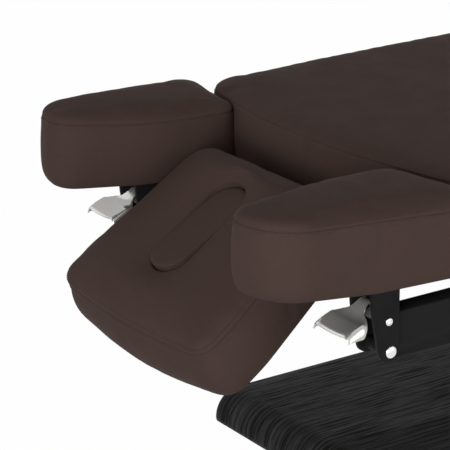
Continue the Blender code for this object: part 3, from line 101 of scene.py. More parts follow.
JOIN_ROWS = range(4, SEAM_ROW)

# Cloth run of a cover with the most that it may swell, and the foam's uneven give as (depth, width)
COVER_PRESSURE = 4.0
COVER_FRAMES = 14
COVER_SLACK = 0.004
PAD_SWELL = 0.006
HEADREST_SWELL = 0.005
PAD_GIVE = (0.0011, 0.085)
HEADREST_GIVE = (0.0010, 0.070)
PLUG_GIVE = (0.0004, 0.035)
SEED_STEP = Vector((3.7, 1.9, 5.3))
HEADREST_SEED = 4
PLUG_SEED = 6
ARMREST_SEED = 5

# Stitches, with their form as (share of the length, share of the radius)
STITCH_PITCH = 0.0052
STITCH_LENGTH = 0.0036
STITCH_RADIUS = 0.0006
STITCH_LIFT = 0.0002
STITCH_DIP = 1.2
STITCH_SIDES = 5
STITCH_FORM = ((-0.5, 0.35), (-0.22, 0.95), (0.22, 0.95), (0.5, 0.35))

# Headrest, in its own sloping frame from the front seam, with its widest place as (x, half width, bend)
HEADREST_TILT = math.radians(36)
HEADREST_LENGTH = 0.345
HEADREST_FRONT_HALF = 0.216
HEADREST_WIDEST = (0.080, 0.218, 0.30)
HEADREST_FOOT_HALF = 0.184
HEADREST_FRONT_RADIUS = 0.036
HEADREST_FOOT_RADIUS = 0.058
HEADREST_BOW = 0.010
HEADREST_BOW_PEAK = 1.35
HEADREST_HEIGHT = 0.105
HEADREST_CROWN = 0.032
HEADREST_DOME_REACH = 1.25
HEADREST_TOP_SHARES = (0.12, 0.25, 0.38, 0.52, 0.66, 0.80, 0.92)
HEADREST_ROLL = 2.1
HEADREST_FRONT_SAG = 0.014
HEADREST_BULGE = 0.005
HEADREST_FRONT_BULGE = 0.006
HEADREST_BOARD = 0.015
HEADREST_SPACING = 0.0075
HEADREST_AXLE = Vector((0.386, 0, -0.1323))

# Face slot and its plug, with the lip and the plug's edges as (trim, height) or (trim, drop) rows
SLOT_CENTRE = 0.190
SLOT_HALF_LENGTH = 0.100
SLOT_RADIUS = 0.043
SLOT_RIM = 0.020
SLOT_LIP = (
    (-0.0150, 0.0005), (-0.0090, -0.0003), (-0.0045, -0.0013), (-0.0015, -0.0028),
    (0.0, -0.006), (0.0, -0.036), (0.0, -0.075),
)
SLOT_HELD_ROWS = 4
PLUG_CLEARANCE = 0.0006
PLUG_PROUD = 0.010
PLUG_SUNK = 0.012
PLUG_FOOT = ((0.0094, 0.0), (0.0034, 0.0005), (0.0015, 0.006), (0.0, 0.030))
PLUG_ROLL = (
    (0.0, 0.007), (0.0003, 0.0046), (0.0016, 0.0028), (0.0048, 0.0015), (0.0100, 0.0007),
    (0.0180, 0.0002), (0.026, -0.0008), (0.033, -0.0012), (0.0372, -0.0014),
)

HEADREST_FRAME = Matrix.Rotation(-HEADREST_TILT, 4, "Y")
HEADREST_FRAME.translation = JOINT_PLACE["headrest_tilt"] - HEADREST_FRAME @ HEADREST_AXLE
SEAM_X = HEADREST_FRAME.translation.x

# Outlines of the flat pads, with the back's shoulder as (set back, half width, radius)
PAD_HALF_WIDTH = 0.410
PAD_CORNER = 0.030
PAD_END_GAP = 0.004
BACK_FROM_SEAM = 0.333
BACK_HEAD = SEAM_X + BACK_FROM_SEAM
BACK_BOW_RADIUS = 1.2
BACK_SHOULDER = (0.059, 0.372, 0.095)
LEG_FOOT_HALF = 0.375
LEG_FOOT_CORNER = 0.090

# Armrests, with corners as (x from the front seam, y, radius): two at the head, two at the foot and the waist
ARMREST_CORNERS = (
    (0.005, 0.290, 0.052), (0.030, 0.405, 0.080), (0.392, 0.437, 0.040), (0.350, 0.221, 0.034),
    (0.200, 0.221, 0.250),
)
ARMREST_ROLL = 1.7
ARMREST_UNDER = 1.4
ARMREST_SKIRT = 0.006

# The photograph shows the two armrests a little apart from a true mirror
ARMREST_HEAD_SHIFT = {"left": 0.030, "right": -0.024}
ARMREST_FOOT_SHIFT = {"left": 0.022, "right": 0.006}
ARMREST_LIFT = {"left": 0.0, "right": 0.009}
ARMREST_FALL = {"left": 0.014, "right": 0.008}
ARMREST_RISE = {"left": 0.0, "right": 0.016}
ARMREST_RISE_REACH = 0.5

# Release lever, with rows along its sheet as (x, z, share of the paddle's width) from the axle
LEVER_ROWS = (
    (0.0015, 0.0062, 0.0), (-0.0015, 0.0160, 0.0), (-0.0060, 0.0245, 0.0), (-0.0120, 0.0286, 0.0),
    (-0.0190, 0.0286, 0.0), (-0.0250, 0.0252, 0.02), (-0.0310, 0.0198, 0.09), (-0.0370, 0.0148, 0.22),
    (-0.0430, 0.0116, 0.58), (-0.0500, 0.0098, 0.90), (-0.0570, 0.0090, 1.0), (-0.0610, 0.0084, 1.0),
    (-0.0640, 0.0074, 1.0), (-0.0700, 0.0052, 1.0), (-0.0780, 0.0020, 1.0), (-0.0850, -0.0012, 0.99),
    (-0.0880, -0.0030, 0.97), (-0.0895, -0.0056, 0.94),
)
LEVER_SHEET = 0.0024
LEVER_EDGE = 0.0007
LEVER_EDGE_ANGLE = math.radians(50)
LEVER_STEM_HALF = 0.011
LEVER_STEM_SHIFT = 0.0055
LEVER_PADDLE_HALF = 0.0385
LEVER_DISH = 0.0030
LEVER_COLUMNS = 20
LEVER_SIDE_START = 0.7
LEVER_SIDE_ROUND = 0.006
LEVER_SIDE_POWER = 1.4
LEVER_SIDE_FROM = -0.037
LEVER_SIDE_DEPTH = (0.028, 0.010)
LEVER_CLEAR_FROM = -0.046
LEVER_CLEAR_OVER = 0.014
HUB_HALF = 0.0232
HUB_BORE = 0.0043
HUB_RADIUS = 0.0080
HUB_EDGE = 0.0008

# Bolts as (shank radius, head radius, head height), and how far a socket's rim stands up
ARM_PIVOT_BOLT = (0.006, 0.0105, 0.006)
LEVER_AXLE_SCREW = (0.004, 0.007, 0.0045)
SOCKET_LIP = 0.0002
LATHE_SEGMENTS = 40
SHANK_SEGMENTS = 28
NUT_SEGMENTS = 36

# Bolt forms, as shares of the head's height and radius, the socket's key, the shank's radius or the nut
HEAD_RIM = ((0.0, 0.96), (0.10, 1.0), (0.32, 0.98))
HEAD_DOME_STEPS = 7
HEAD_DOME_POWER = 0.8
SOCKET_KEY = 0.50
SOCKET_RIM = 1.12
SOCKET_WALL = 0.55
SOCKET_FLOOR = (0.75, 0.2)
NUT_RADIUS = 1.7
NUT_HEIGHT = 1.2
NUT_BEVEL = 0.12
NUT_END = 0.92
SHANK_END = ((0.0, 1.0), (1.5, 1.0), (1.6, 0.8))

# Edges of steel and of the plinth, and the angles at which faces meet sharply
BRACKET_BEVEL = (0.0012, 3)
STEEL_BEVEL = (0.0009, 2)
SAME_PLACE = 1e-6
FLAT_ANGLE = math.radians(0.5)
BEVEL_ANGLE = math.radians(35)
STEEL_CREASE = math.radians(40)
BOLT_CREASE = math.radians(35)
PLINTH_CREASE = math.radians(50)
PLINTH_END_RADIUS = 0.050
PLINTH_LOWER_RADIUS = 0.010
PLINTH_EDGE = 0.003
PLINTH_EDGE_MIDDLE = 0.3
PLINTH_SPACING = 0.006
PLINTH_STRIPS = 24


# Outlines and rings

def clamped(value):
    """A value kept between 0 and 1."""
    return min(1.0, max(0.0, value))


def rounded(corners, spacing):
    """A closed outline through (x, y, radius) corners, with evenly spread points."""
    points = []
    for i, (x, y, radius) in enumerate(corners):
        here = Vector((x, y))
        back = (Vector(corners[i - 1][:2]) - here).normalized()
        ahead = (Vector(corners[(i + 1) % len(corners)][:2]) - here).normalized()
        half = back.angle(ahead) / 2
        centre = here + (back + ahead).normalized() * (radius / math.sin(half))
        first = here + back * (radius / math.tan(half)) - centre
        sweep = first.angle_signed(here + ahead * (radius / math.tan(half)) - centre)
        turns = (Matrix.Rotation(-sweep * k / ARC_STEPS, 2) for k in range(ARC_STEPS + 1))
        points.extend(centre + turn @ first for turn in turns)
    return spread(points, spacing)


def spread(points, spacing):
    """Evenly spaced points round a closed polyline, anticlockwise."""
    if sum(points[i - 1].cross(points[i]) for i in range(len(points))) < 0:
        points = points[::-1]
    lengths = [(points[(i + 1) % len(points)] - p).length for i, p in enumerate(points)]
    total = sum(lengths)
    count = max(FEWEST_POINTS, round(total / spacing))
    result = []
    i = 0
    passed = 0.0
    for k in range(count):
        target = total * k / count
        while passed + lengths[i] < target:
            passed += lengths[i]
            i += 1
        share = (target - passed) / max(lengths[i], 1e-9)
        result.append(points[i].lerp(points[(i + 1) % len(points)], share))
    return result


def inward(outline):
    """The inward normal at each point of an anticlockwise outline."""
    count = len(outline)
    normals = []
    for i in range(count):
        along = (outline[(i + 1) % count] - outline[i - 1]).normalized()
        normals.append(Vector((-along.y, along.x)))
    return normals


def ring(outline, normals, distance, height):
    """A level ring at a distance inside an outline; the distance may depend on the normal."""
    reach = distance if callable(distance) else (lambda normal: distance)
    return [Vector((*(p + n * reach(n)), height)) for p, n in zip(outline, normals)]


def skin(name, rings, capped=False, closed=False):
    """A mesh object skinned over equal rings, which may be capped or may close on themselves."""
    bm = bmesh.new()
    rows = [[bm.verts.new(p) for p in points] for points in rings]
    count = len(rows[0])
    pairs = list(zip(rows, rows[1:]))
    if closed:
        pairs.append((rows[-1], rows[0]))
    for lower, upper in pairs:
        for i in range(count):
            j = (i + 1) % count
            bm.faces.new((lower[i], lower[j], upper[j], upper[i]))
    if capped:
        bm.faces.new(reversed(rows[0]))
        bm.faces.new(rows[-1])
    bmesh.ops.recalc_face_normals(bm, faces=bm.faces)
    return to_object(name, bm)


def to_object(name, bm):
    """A smooth-shaded object in the scene."""
    mesh = bpy.data.meshes.new(name)
    bm.to_mesh(mesh)
    bm.free()
    mesh.shade_smooth()
    made = bpy.data.objects.new(name, mesh)
    bpy.context.scene.collection.objects.link(made)
    return made


def settle(piece, body, slot, surface, *nodes):
    """Give a piece its material, the body that carries it and the nodes that it stands for."""
    piece.data.materials.clear()
    piece.data.materials.append(surface)
    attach(piece, body)
    if nodes:
        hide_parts(*nodes)


# Materials

class Surface:
    """A Principled material with short calls for its texture nodes."""

    def __init__(self, name, metallic=0.0, specular=0.5):
        self.material = bpy.data.materials.new(name)
        self.material.use_nodes = True
        self.tree = self.material.node_tree
        self.shader = self.tree.nodes["Principled BSDF"]
        self.shader.inputs["Metallic"].default_value = metallic
        self.shader.inputs["Specular IOR Level"].default_value = specular
        self.normal = None

    def node(self, kind, **inputs):
        made = self.tree.nodes.new(kind)
        for key, value in inputs.items():
            self.feed(made.inputs[key.replace("_", " ")], value)
        return made

    def feed(self, socket, value):
        if isinstance(value, bpy.types.NodeSocket):
            self.tree.links.new(value, socket)
        else:
            socket.default_value = value

    def place(self, scale=(1, 1, 1), turn=(0, 0, 0), source="Object"):
        """Coordinates in metres, stretched and turned."""
        coordinates = self.node("ShaderNodeTexCoord").outputs[source]
        mapping = self.node("ShaderNodeMapping", Vector=coordinates, Scale=scale, Rotation=turn)
        return mapping.outputs["Vector"]

    def noise(self, vector, scale, detail=3.0, roughness=0.55):
        made = self.node("ShaderNodeTexNoise", Vector=vector, Scale=scale, Detail=detail, Roughness=roughness)
        return made.outputs["Fac"]

    def cells(self, vector, scale, smoothness):
        made = self.node("ShaderNodeTexVoronoi", Vector=vector, Scale=scale)
        made.feature = "SMOOTH_F1"
        made.inputs["Smoothness"].default_value = smoothness
        return made.outputs["Distance"]

    def remap(self, value, low, high, to_low=0.0, to_high=1.0):
        made = self.node("ShaderNodeMapRange", Value=value)
        for key, number in (("From Min", low), ("From Max", high), ("To Min", to_low), ("To Max", to_high)):
            made.inputs[key].default_value = number
        return made.outputs["Result"]

    def math(self, operation, first, second):
        made = self.node("ShaderNodeMath")
        made.operation = operation
        self.feed(made.inputs[0], first)
        self.feed(made.inputs[1], second)
        return made.outputs[0]

    def ramp(self, value, *stops):
        """Colours along a value: (position, colour) stops."""
        made = self.node("ShaderNodeValToRGB", Fac=value)
        elements = made.color_ramp.elements
        for element, (position, colour) in zip(elements, stops):
            element.position = position
            element.color = (*colour, 1.0)
        return made.outputs["Color"]

    def mix(self, factor, first, second, blend="MIX"):
        made = self.tree.nodes.new("ShaderNodeMix")
        made.data_type = "RGBA"
        made.blend_type = blend
        self.feed(made.inputs[0], factor)
        for socket, value in ((made.inputs[6], first), (made.inputs[7], second)):
            self.feed(socket, value if isinstance(value, bpy.types.NodeSocket) else (*value, 1.0))
        return made.outputs[2]

    def colour(self, value):
        self.feed(self.shader.inputs["Base Color"], value)

    def roughness(self, value):
        self.feed(self.shader.inputs["Roughness"], value)

    def bump(self, height, strength, distance):
        made = self.node("ShaderNodeBump", Height=height, Strength=strength, Distance=distance)
        if self.normal is not None:
            self.tree.links.new(self.normal, made.inputs["Normal"])
        self.normal = made.outputs["Normal"]
        self.tree.links.new(self.normal, self.shader.inputs["Normal"])


def grey(tone):
    """A neutral colour."""
    return (tone, tone, tone)


def vinyl():
    """Dark brown upholstery vinyl with a fine pebble grain and faint cloudy wear."""
    dark = (0.063, 0.0405, 0.0345)
    pale = (0.070, 0.0450, 0.0385)
    pore = (0.052, 0.0335, 0.0285)
    s = Surface("upholstery_vinyl", specular=0.04)
    at = s.place()
    cloud = s.noise(at, scale=9.0, detail=4.0)
    pebble = s.cells(at, scale=820.0, smoothness=0.4)
    s.colour(s.mix(s.remap(pebble, 0.05, 0.75), s.ramp(cloud, (0.30, dark), (0.70, pale)), pore))
    s.roughness(s.remap(s.noise(at, scale=26.0), 0.3, 0.7, 0.68, 0.76))
    s.bump(s.noise(at, scale=60.0, detail=2.0), strength=0.03, distance=0.0008)
    s.bump(pebble, strength=0.22, distance=0.00020)
    return s.material


def thread():
    """Brown sewing thread with a fine twist."""
    dark = (0.026, 0.017, 0.015)
    pale = (0.042, 0.029, 0.025)
    s = Surface("upholstery_thread", specular=0.3)
    twist = s.noise(s.place(), scale=1400.0, detail=2.0)
    s.colour(s.ramp(twist, (0.3, dark), (0.7, pale)))
    s.roughness(s.remap(twist, 0.3, 0.7, 0.55, 0.75))
    s.bump(twist, strength=0.4, distance=0.0002)
    return s.material


def powder_coat():
    """Black powder coat: fine orange peel and a few pale scuffs."""
    tone = 0.010
    s = Surface("powder_coat", specular=0.05)
    at = s.place()
    peel = s.noise(at, scale=900.0, detail=2.0)
    dust = s.noise(at, scale=14.0, detail=5.0, roughness=0.6)
    rubs = s.noise(s.place((1.0, 3.0, 1.0)), scale=70.0, detail=6.0, roughness=0.7)
    coat = s.ramp(dust, (0.3, grey(tone * 0.85)), (0.7, grey(tone * 1.25)))
    s.colour(s.mix(s.remap(rubs, 0.70, 0.82), coat, grey(tone * 1.9)))
    s.roughness(s.remap(dust, 0.3, 0.7, 0.44, 0.58))
    s.bump(peel, strength=0.22, distance=0.0003)
    return s.material


def bright_metal(name, tone, low, high, stretch, metallic=1.0):
    """Plated or polished metal, low to high in roughness, with faint rubbing marks along one way."""
    s = Surface(name, metallic=metallic)
    marks = s.noise(s.place(stretch), scale=240.0, detail=4.0, roughness=0.7)
    smear = s.noise(s.place(), scale=30.0)
    s.colour(s.ramp(smear, (0.25, tuple(0.94 * c for c in tone)), (0.75, tone)))
    s.roughness(s.remap(s.math("ADD", marks, smear), 0.7, 1.3, low, high))
    s.bump(marks, strength=0.05, distance=0.0001)
    return s.material


def stained_wood():
    """Open-grain wood stained black: the grain runs along the plank and down its rounded end."""
    s = Surface("stained_wood", specular=0.035)
    unrolled = s.place(source="UV")

    def along(lengthways, across):
        mapping = s.node("ShaderNodeMapping", Vector=unrolled, Scale=(lengthways, across, 1.0))
        return mapping.outputs["Vector"]

    def streaks(lengthways, across, detail, roughness=0.5):
        return s.noise(along(lengthways, across), 1.0, detail, roughness)

    wave = s.node("ShaderNodeTexWave", Vector=along(0.55, 26.0), Scale=1.0, Distortion=9.0, Detail=3.0)
    wave.inputs["Detail Scale"].default_value = 0.7
    wave.bands_direction = "Y"
    flats = s.remap(streaks(1.1, 5.0, 2.0), 0.44, 0.58)
    rings = s.math("MULTIPLY", s.remap(wave.outputs["Fac"], 0.45, 0.85), flats)
    hairs = s.remap(streaks(14.0, 720.0, 1.0), 0.48, 0.60)
    lines = s.remap(streaks(8.0, 260.0, 2.0, 0.6), 0.50, 0.58)
    dashes = s.remap(streaks(26.0, 560.0, 2.0, 0.6), 0.56, 0.66)
    grain = s.ramp(streaks(1.5, 9.0, 3.0), (0.34, grey(0.020)), (0.64, grey(0.058)))
    marks = ((lines, 0.92, 0.004), (hairs, 0.55, 0.006), (rings, 0.80, 0.005), (dashes, 0.85, 0.003))
    for mark, depth, tone in marks:
        grain = s.mix(s.math("MULTIPLY", mark, depth), grain, grey(tone))
    s.colour(grain)
    s.roughness(s.remap(lines, 0.0, 1.0, 0.46, 0.66))
    s.bump(s.remap(lines, 0.0, 1.0, 1.0, 0.0), strength=0.22, distance=0.0005)
    s.bump(s.remap(dashes, 0.0, 1.0, 1.0, 0.0), strength=0.30, distance=0.0005)
    return s.material


def plywood(name, tilt=0.0):
    """Birch plywood stained black: plies seen at the edges and a quiet grain on the faces."""
    s = Surface(name, specular=0.1)
    turn = (0.0, tilt, 0.0)
    layers = s.node("ShaderNodeTexWave", Vector=s.place(turn=turn), Scale=110.0, Distortion=0.4)
    layers.bands_direction = "Z"
    grain = s.noise(s.place((3.0, 60.0, 60.0), turn), scale=3.0, detail=5.0, roughness=0.6)
    face = s.ramp(grain, (0.3, (0.018, 0.016, 0.015)), (0.7, (0.027, 0.024, 0.022)))
    ply = s.ramp(layers.outputs["Fac"], (0.25, (0.70, 0.66, 0.60)), (0.65, grey(1.0)))
    s.colour(s.mix(1.0, face, ply, "MULTIPLY"))
    s.roughness(s.remap(grain, 0.3, 0.7, 0.55, 0.72))
    s.bump(grain, strength=0.2, distance=0.0004)
    return s.material


def moulded(name, tone, roughness, scale):
    """Moulded plastic or rubber with a fine eroded texture."""
    s = Surface(name, specular=0.4)
    at = s.place()
    grit = s.noise(at, scale, roughness=0.6)
    cloud = s.noise(at, scale=18.0)
    s.colour(s.ramp(cloud, (0.3, grey(tone * 0.8)), (0.7, grey(tone * 1.3))))
    s.roughness(s.remap(grit, 0.3, 0.7, roughness - 0.08, roughness + 0.08))
    s.bump(grit, strength=0.3, distance=0.0003)
    return s.material


VINYL = vinyl()
THREAD = thread()
COAT = powder_coat()
CHROME = bright_metal("polished_chrome", (0.50, 0.49, 0.47), 0.09, 0.20, (1.0, 8.0, 8.0), metallic=0.5)
ZINC = bright_metal("bright_zinc", (0.83, 0.83, 0.82), 0.20, 0.32, (4.0, 1.0, 4.0))
ALUMINIUM = bright_metal("satin_aluminium", (0.40, 0.40, 0.41), 0.42, 0.56, (6.0, 6.0, 0.2))
WOOD = stained_wood()
PLY = plywood("stained_plywood")
PLY_SLOPED = plywood("stained_plywood_sloped", HEADREST_TILT)
PLASTIC = moulded("black_moulding", 0.018, 0.52, 700.0)
RUBBER = moulded("black_rubber", 0.020, 0.78, 420.0)
FINISH = {
    "upholstery": VINYL, "black_steel": COAT, "chrome": CHROME, "zinc": ZINC, "aluminium": ALUMINIUM,
    "black_wood": WOOD, "plywood": PLY, "black_plastic": PLASTIC, "rubber": RUBBER,
}


# Upholstery

def inflate(piece, held, cap):
    """Let a sewn cover swell over its foam, with its seams and underside held, by at most a cap."""
    mesh = piece.data
    before = [v.co.copy() for v in mesh.vertices]
    piece.vertex_groups.new(name="held").add(held, 1.0, "REPLACE")
    cover = piece.modifiers.new("cover", "CLOTH")
    settings = cover.settings
    settings.quality = 5
    settings.mass = 0.3
    settings.tension_stiffness = 20
    settings.compression_stiffness = 20
    settings.shear_stiffness = 8
    settings.bending_stiffness = 1.5
    settings.vertex_group_mass = "held"
    settings.use_pressure = True
    settings.uniform_pressure_force = COVER_PRESSURE
    settings.shrink_min = -COVER_SLACK
    settings.effector_weights.gravity = 0
    scene = bpy.context.scene
    for step in range(1, COVER_FRAMES + 1):
        scene.frame_set(step)
    evaluated = piece.evaluated_get(bpy.context.evaluated_depsgraph_get())
    after = [v.co.copy() for v in evaluated.data.vertices]
    piece.modifiers.remove(cover)
    piece.vertex_groups.clear()
    scene.frame_set(1)
    for vert, start, end in zip(mesh.vertices, before, after):
        move = end - start
        if move.length > 1e-7:
            vert.co = start + move * (cap * math.tanh(move.length / cap) / move.length)


def soften(piece, give, seed, held):
    """Small uneven give of foam under a cover."""
    depth, width = give
    fixed = set(held)
    normals = [v.normal.copy() for v in piece.data.vertices]
    for vert, normal in zip(piece.data.vertices, normals):
        if vert.index not in fixed:
            vert.co += normal * depth * noise.noise(vert.co / width + SEED_STEP * seed)


def smoother(piece):
    """Smooth a form once, keep the result and close its open ends."""
    step = piece.modifiers.new("smooth", "SUBSURF")
    step.levels = 1
    step.render_levels = 1
    evaluated = piece.evaluated_get(bpy.context.evaluated_depsgraph_get())
    rough = piece.data
    piece.data = bpy.data.meshes.new_from_object(evaluated)
    piece.modifiers.clear()
    bpy.data.meshes.remove(rough)
    bm = bmesh.new()
    bm.from_mesh(piece.data)
    bmesh.ops.holes_fill(bm, edges=[e for e in bm.edges if e.is_boundary], sides=0)
    bm.to_mesh(piece.data)
    bm.free()
    piece.data.shade_smooth()


def stitches(name, piece, row, count, body):
    """A row of thread stitches along one ring of a cover."""
    points = [piece.data.vertices[row * count + i] for i in range(count)]
    bm = bmesh.new()
    travelled = 0.0
    due = 0.0
    for here, ahead in zip(points, points[1:] + points[:1]):
        span = ahead.co - here.co
        length = span.length
        while due < travelled + length:
            share = (due - travelled) / length
            normal = here.normal.lerp(ahead.normal, share).normalized()
            add_stitch(bm, here.co.lerp(ahead.co, share) + normal * STITCH_LIFT, span.normalized(), normal)
            due += STITCH_PITCH
        travelled += length
    settle(to_object(name, bm), body, "upholstery", THREAD)


def add_stitch(bm, centre, along, normal):
    """One stitch: a short fat thread that dips in at both ends."""
    side = along.cross(normal).normalized()
    angles = [math.pi * 2 * k / STITCH_SIDES for k in range(STITCH_SIDES)]
    spokes = [side * math.cos(angle) + normal * math.sin(angle) for angle in angles]
    rows = []
    for share, swell in STITCH_FORM:
        middle = centre + along * STITCH_LENGTH * share - normal * STITCH_RADIUS * (1 - swell) * STITCH_DIP
        rows.append([bm.verts.new(middle + spoke * STITCH_RADIUS * swell) for spoke in spokes])
    for lower, upper in zip(rows, rows[1:]):
        for i in range(STITCH_SIDES):
            j = (i + 1) % STITCH_SIDES
            bm.faces.new((lower[i], upper[i], upper[j], lower[j]))
    bm.faces.new(rows[0])
    bm.faces.new(reversed(rows[-1]))


def boxed_rows(bottom, seam, bulge, ceiling, roll=1.0, under=1.0):
    """Side of a boxed cover from its board pocket to the roll above the seam, as (inset, height) rows."""
    rise = seam - bottom

    def out(share):
        return lambda normal: -share * bulge(normal)

    return [
        (POCKET_INSET, ceiling),
        (POCKET_INSET, bottom),
        *((inset * under, bottom + height * under) for inset, height in UNDER_ROLL),
        *((out(share), bottom + rise * height) for share, height in SIDE_SWELL),
        *((inset, seam + height) for inset, height in SEAM_GROOVE),
        *((inset, seam + height * roll) for inset, height in TOP_ROLL),
    ]


def pad(name, body, corners, seed, joins=(), roll=1.0, under=1.0, skirt=0.0, lift=0.0, fall=0.0, rise=0.0):
    """A boxed pad: crowned top, rolled edge, sunk seam with topstitching and a pocket for its board."""
    outline = rounded(corners, COLUMN_SPACING)
    normals = inward(outline)
    count = len(outline)
    bottom = PAD_BOTTOM - skirt
    seam = PAD_BOTTOM + SEAM_HEIGHT
    ceiling = PAD_BOTTOM + BOARD_THICKNESS + POCKET_CLEARANCE
    rows = boxed_rows(bottom, seam, lambda normal: BOX_BULGE, ceiling, roll, under)
    rings = [ring(outline, normals, distance, height) for distance, height in rows]
    edge = rings[-1]
    centre = sum(edge, Vector()) / count
    swell = seam + PAD_CROWN * roll - edge[0].z + TOP_SWELL
    for share in TOP_SHARES:
        height = edge[0].z + swell * (1 - share ** PAD_CROWN_POWER)
        rings.append([Vector((*(centre + (p - centre) * share).xy, height)) for p in edge])
    wedge(rings, outline, bottom, seam, lift, fall, rise)
    for place in joins:
        nearest = min(range(count), key=lambda i: (outline[i] - Vector(place)).length)
        for row in JOIN_ROWS:
            rings[row][nearest] += normals[nearest].to_3d() * JOIN_DEPTH
    piece = skin(f"{name}_cover", rings)
    held = [row * count + i for row in HELD_ROWS for i in range(count)]
    inflate(piece, held, PAD_SWELL)
    soften(piece, PAD_GIVE, seed, held)
    stitches(f"{name}_stitching", piece, STITCH_ROW, count, body)
    smoother(piece)
    settle(piece, body, "upholstery", VINYL, name)


def wedge(rings, outline, bottom, seam, lift, fall, rise):
    """Lift a pad's top at its head end, lower it at its foot end and lift its bottom edge at its head end."""
    head = min(p.x for p in outline)
    foot = max(p.x for p in outline)
    for points in rings[1:]:
        for p in points:
            along = (p.x - head) / (foot - head)
            height = clamped((p.z - bottom) / (seam - bottom))
            tilt = lift * (1 - along) - fall * along
            p.z += rise * max(0.0, 1 - along / ARMREST_RISE_REACH) * (1 - height) + tilt * height


def back_corners():
    """The back pad: a bowed head end with wide shoulders, and a square foot end."""
    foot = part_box("back_pad")[1].x - PAD_END_GAP
    set_back, half, radius = BACK_SHOULDER
    shoulder = BACK_HEAD + set_back
    return [
        (BACK_HEAD, 0, BACK_BOW_RADIUS), (shoulder, -half, radius), (foot, -PAD_HALF_WIDTH, PAD_CORNER),
        (foot, PAD_HALF_WIDTH, PAD_CORNER), (shoulder, half, radius),
    ]


def flat_corners(node, foot_half=PAD_HALF_WIDTH, foot_corner=PAD_CORNER):
    """A pad with a square head end, and a foot end of its own width and roundness."""
    low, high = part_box(node)
    head = low.x + PAD_END_GAP
    foot = high.x - PAD_END_GAP
    return [
        (head, -PAD_HALF_WIDTH, PAD_CORNER), (foot, -foot_half, foot_corner),
        (foot, foot_half, foot_corner), (head, PAD_HALF_WIDTH, PAD_CORNER),
    ]


def armrest_corners(side, word):
    """One armrest's outline: its head and foot ends have their own shifts."""
    head = ARMREST_HEAD_SHIFT[word]
    foot = ARMREST_FOOT_SHIFT[word]
    shifts = (head, head, foot, foot, 0.0)
    return [(SEAM_X + shift + x, side * y, radius) for shift, (x, y, radius) in zip(shifts, ARMREST_CORNERS)]


def headrest_outline():
    """The headrest seen square to its slope: bowed front, flared sides and a narrower foot end."""
    peak = HEADREST_BOW_PEAK * HEADREST_BOW
    slope = math.atan(peak / HEADREST_FRONT_HALF)
    bow = (peak - HEADREST_BOW) / (1 / math.cos(slope) - 1)
    x, half, bend = HEADREST_WIDEST
    return rounded([
        (-peak, 0, bow),
        (0, -HEADREST_FRONT_HALF, HEADREST_FRONT_RADIUS),
        (x, -half, bend),
        (HEADREST_LENGTH, -HEADREST_FOOT_HALF, HEADREST_FOOT_RADIUS),
        (HEADREST_LENGTH, HEADREST_FOOT_HALF, HEADREST_FOOT_RADIUS),
        (x, half, bend),
        (0, HEADREST_FRONT_HALF, HEADREST_FRONT_RADIUS),
    ], HEADREST_SPACING)


def slot_spine(point):
    """The nearest point of the slot's middle line."""
    reach = SLOT_HALF_LENGTH - SLOT_RADIUS
    return Vector((min(max(point.x, SLOT_CENTRE - reach), SLOT_CENTRE + reach), 0))


def slot_ring(outline, trim, height):
    """A ring of the face slot, each point opposite a point of the outline round it."""
    points = []
    for p in outline:
        spine = slot_spine(p)
        points.append(Vector((*(spine + (p - spine).normalized() * (SLOT_RADIUS - trim)), height)))
    return points


def on_slope(rings):
    """Rings of the headrest, moved from its own frame to their place."""
    return [[HEADREST_FRAME @ p for p in points] for points in rings]


def headrest():
    """The headrest's cover: boxed side with a sagging front, domed top and an open face slot."""
    outline = headrest_outline()
    normals = inward(outline)
    count = len(outline)
    bottom = -HEADREST_HEIGHT
    ceiling = bottom + HEADREST_BOARD + POCKET_CLEARANCE

    def bulge(normal):
        return HEADREST_BULGE + HEADREST_FRONT_BULGE * max(0.0, normal.x) ** 2

    rows = boxed_rows(bottom, 0.0, bulge, ceiling, HEADREST_ROLL)
    rings = [ring(outline, normals, distance, height) for distance, height in rows]
    for points in rings[UNDER_ROW:SEAM_ROW]:
        for p, normal in zip(points, normals):
            middle = max(0.0, 1 - (p.y / HEADREST_FRONT_HALF) ** 2)
            p.x -= HEADREST_FRONT_SAG * max(0.0, normal.x) ** 2 * middle * (-p.z / HEADREST_HEIGHT)
    edge = rings[-1]
    rim = slot_ring(outline, -SLOT_RIM, HEADREST_CROWN)
    swell = HEADREST_CROWN + TOP_SWELL - edge[0].z
    for share in HEADREST_TOP_SHARES:
        height = edge[0].z + swell * math.sin(math.pi / 2 * min(1.0, share * HEADREST_DOME_REACH))
        rings.append([Vector((*a.lerp(b, share).xy, height)) for a, b in zip(edge, rim)])
    rings += [slot_ring(outline, trim, HEADREST_CROWN + height) for trim, height in SLOT_LIP]
    rings.append(slot_ring(outline, 0.0, ceiling))
    piece = skin("headrest_cover", on_slope(rings), closed=True)
    inner = range(len(rings) - SLOT_HELD_ROWS, len(rings))
    held = [row * count + i for row in (*HELD_ROWS, *inner) for i in range(count)]
    inflate(piece, held, HEADREST_SWELL)
    soften(piece, HEADREST_GIVE, HEADREST_SEED, held)
    stitches("headrest_stitching_low", piece, STITCH_ROW, count, "headrest")
    stitches("headrest_stitching_high", piece, SEAM_ROW + 2, count, "headrest")
    smoother(piece)
    settle(piece, "headrest", "upholstery", VINYL, "headrest_pad")
    return outline


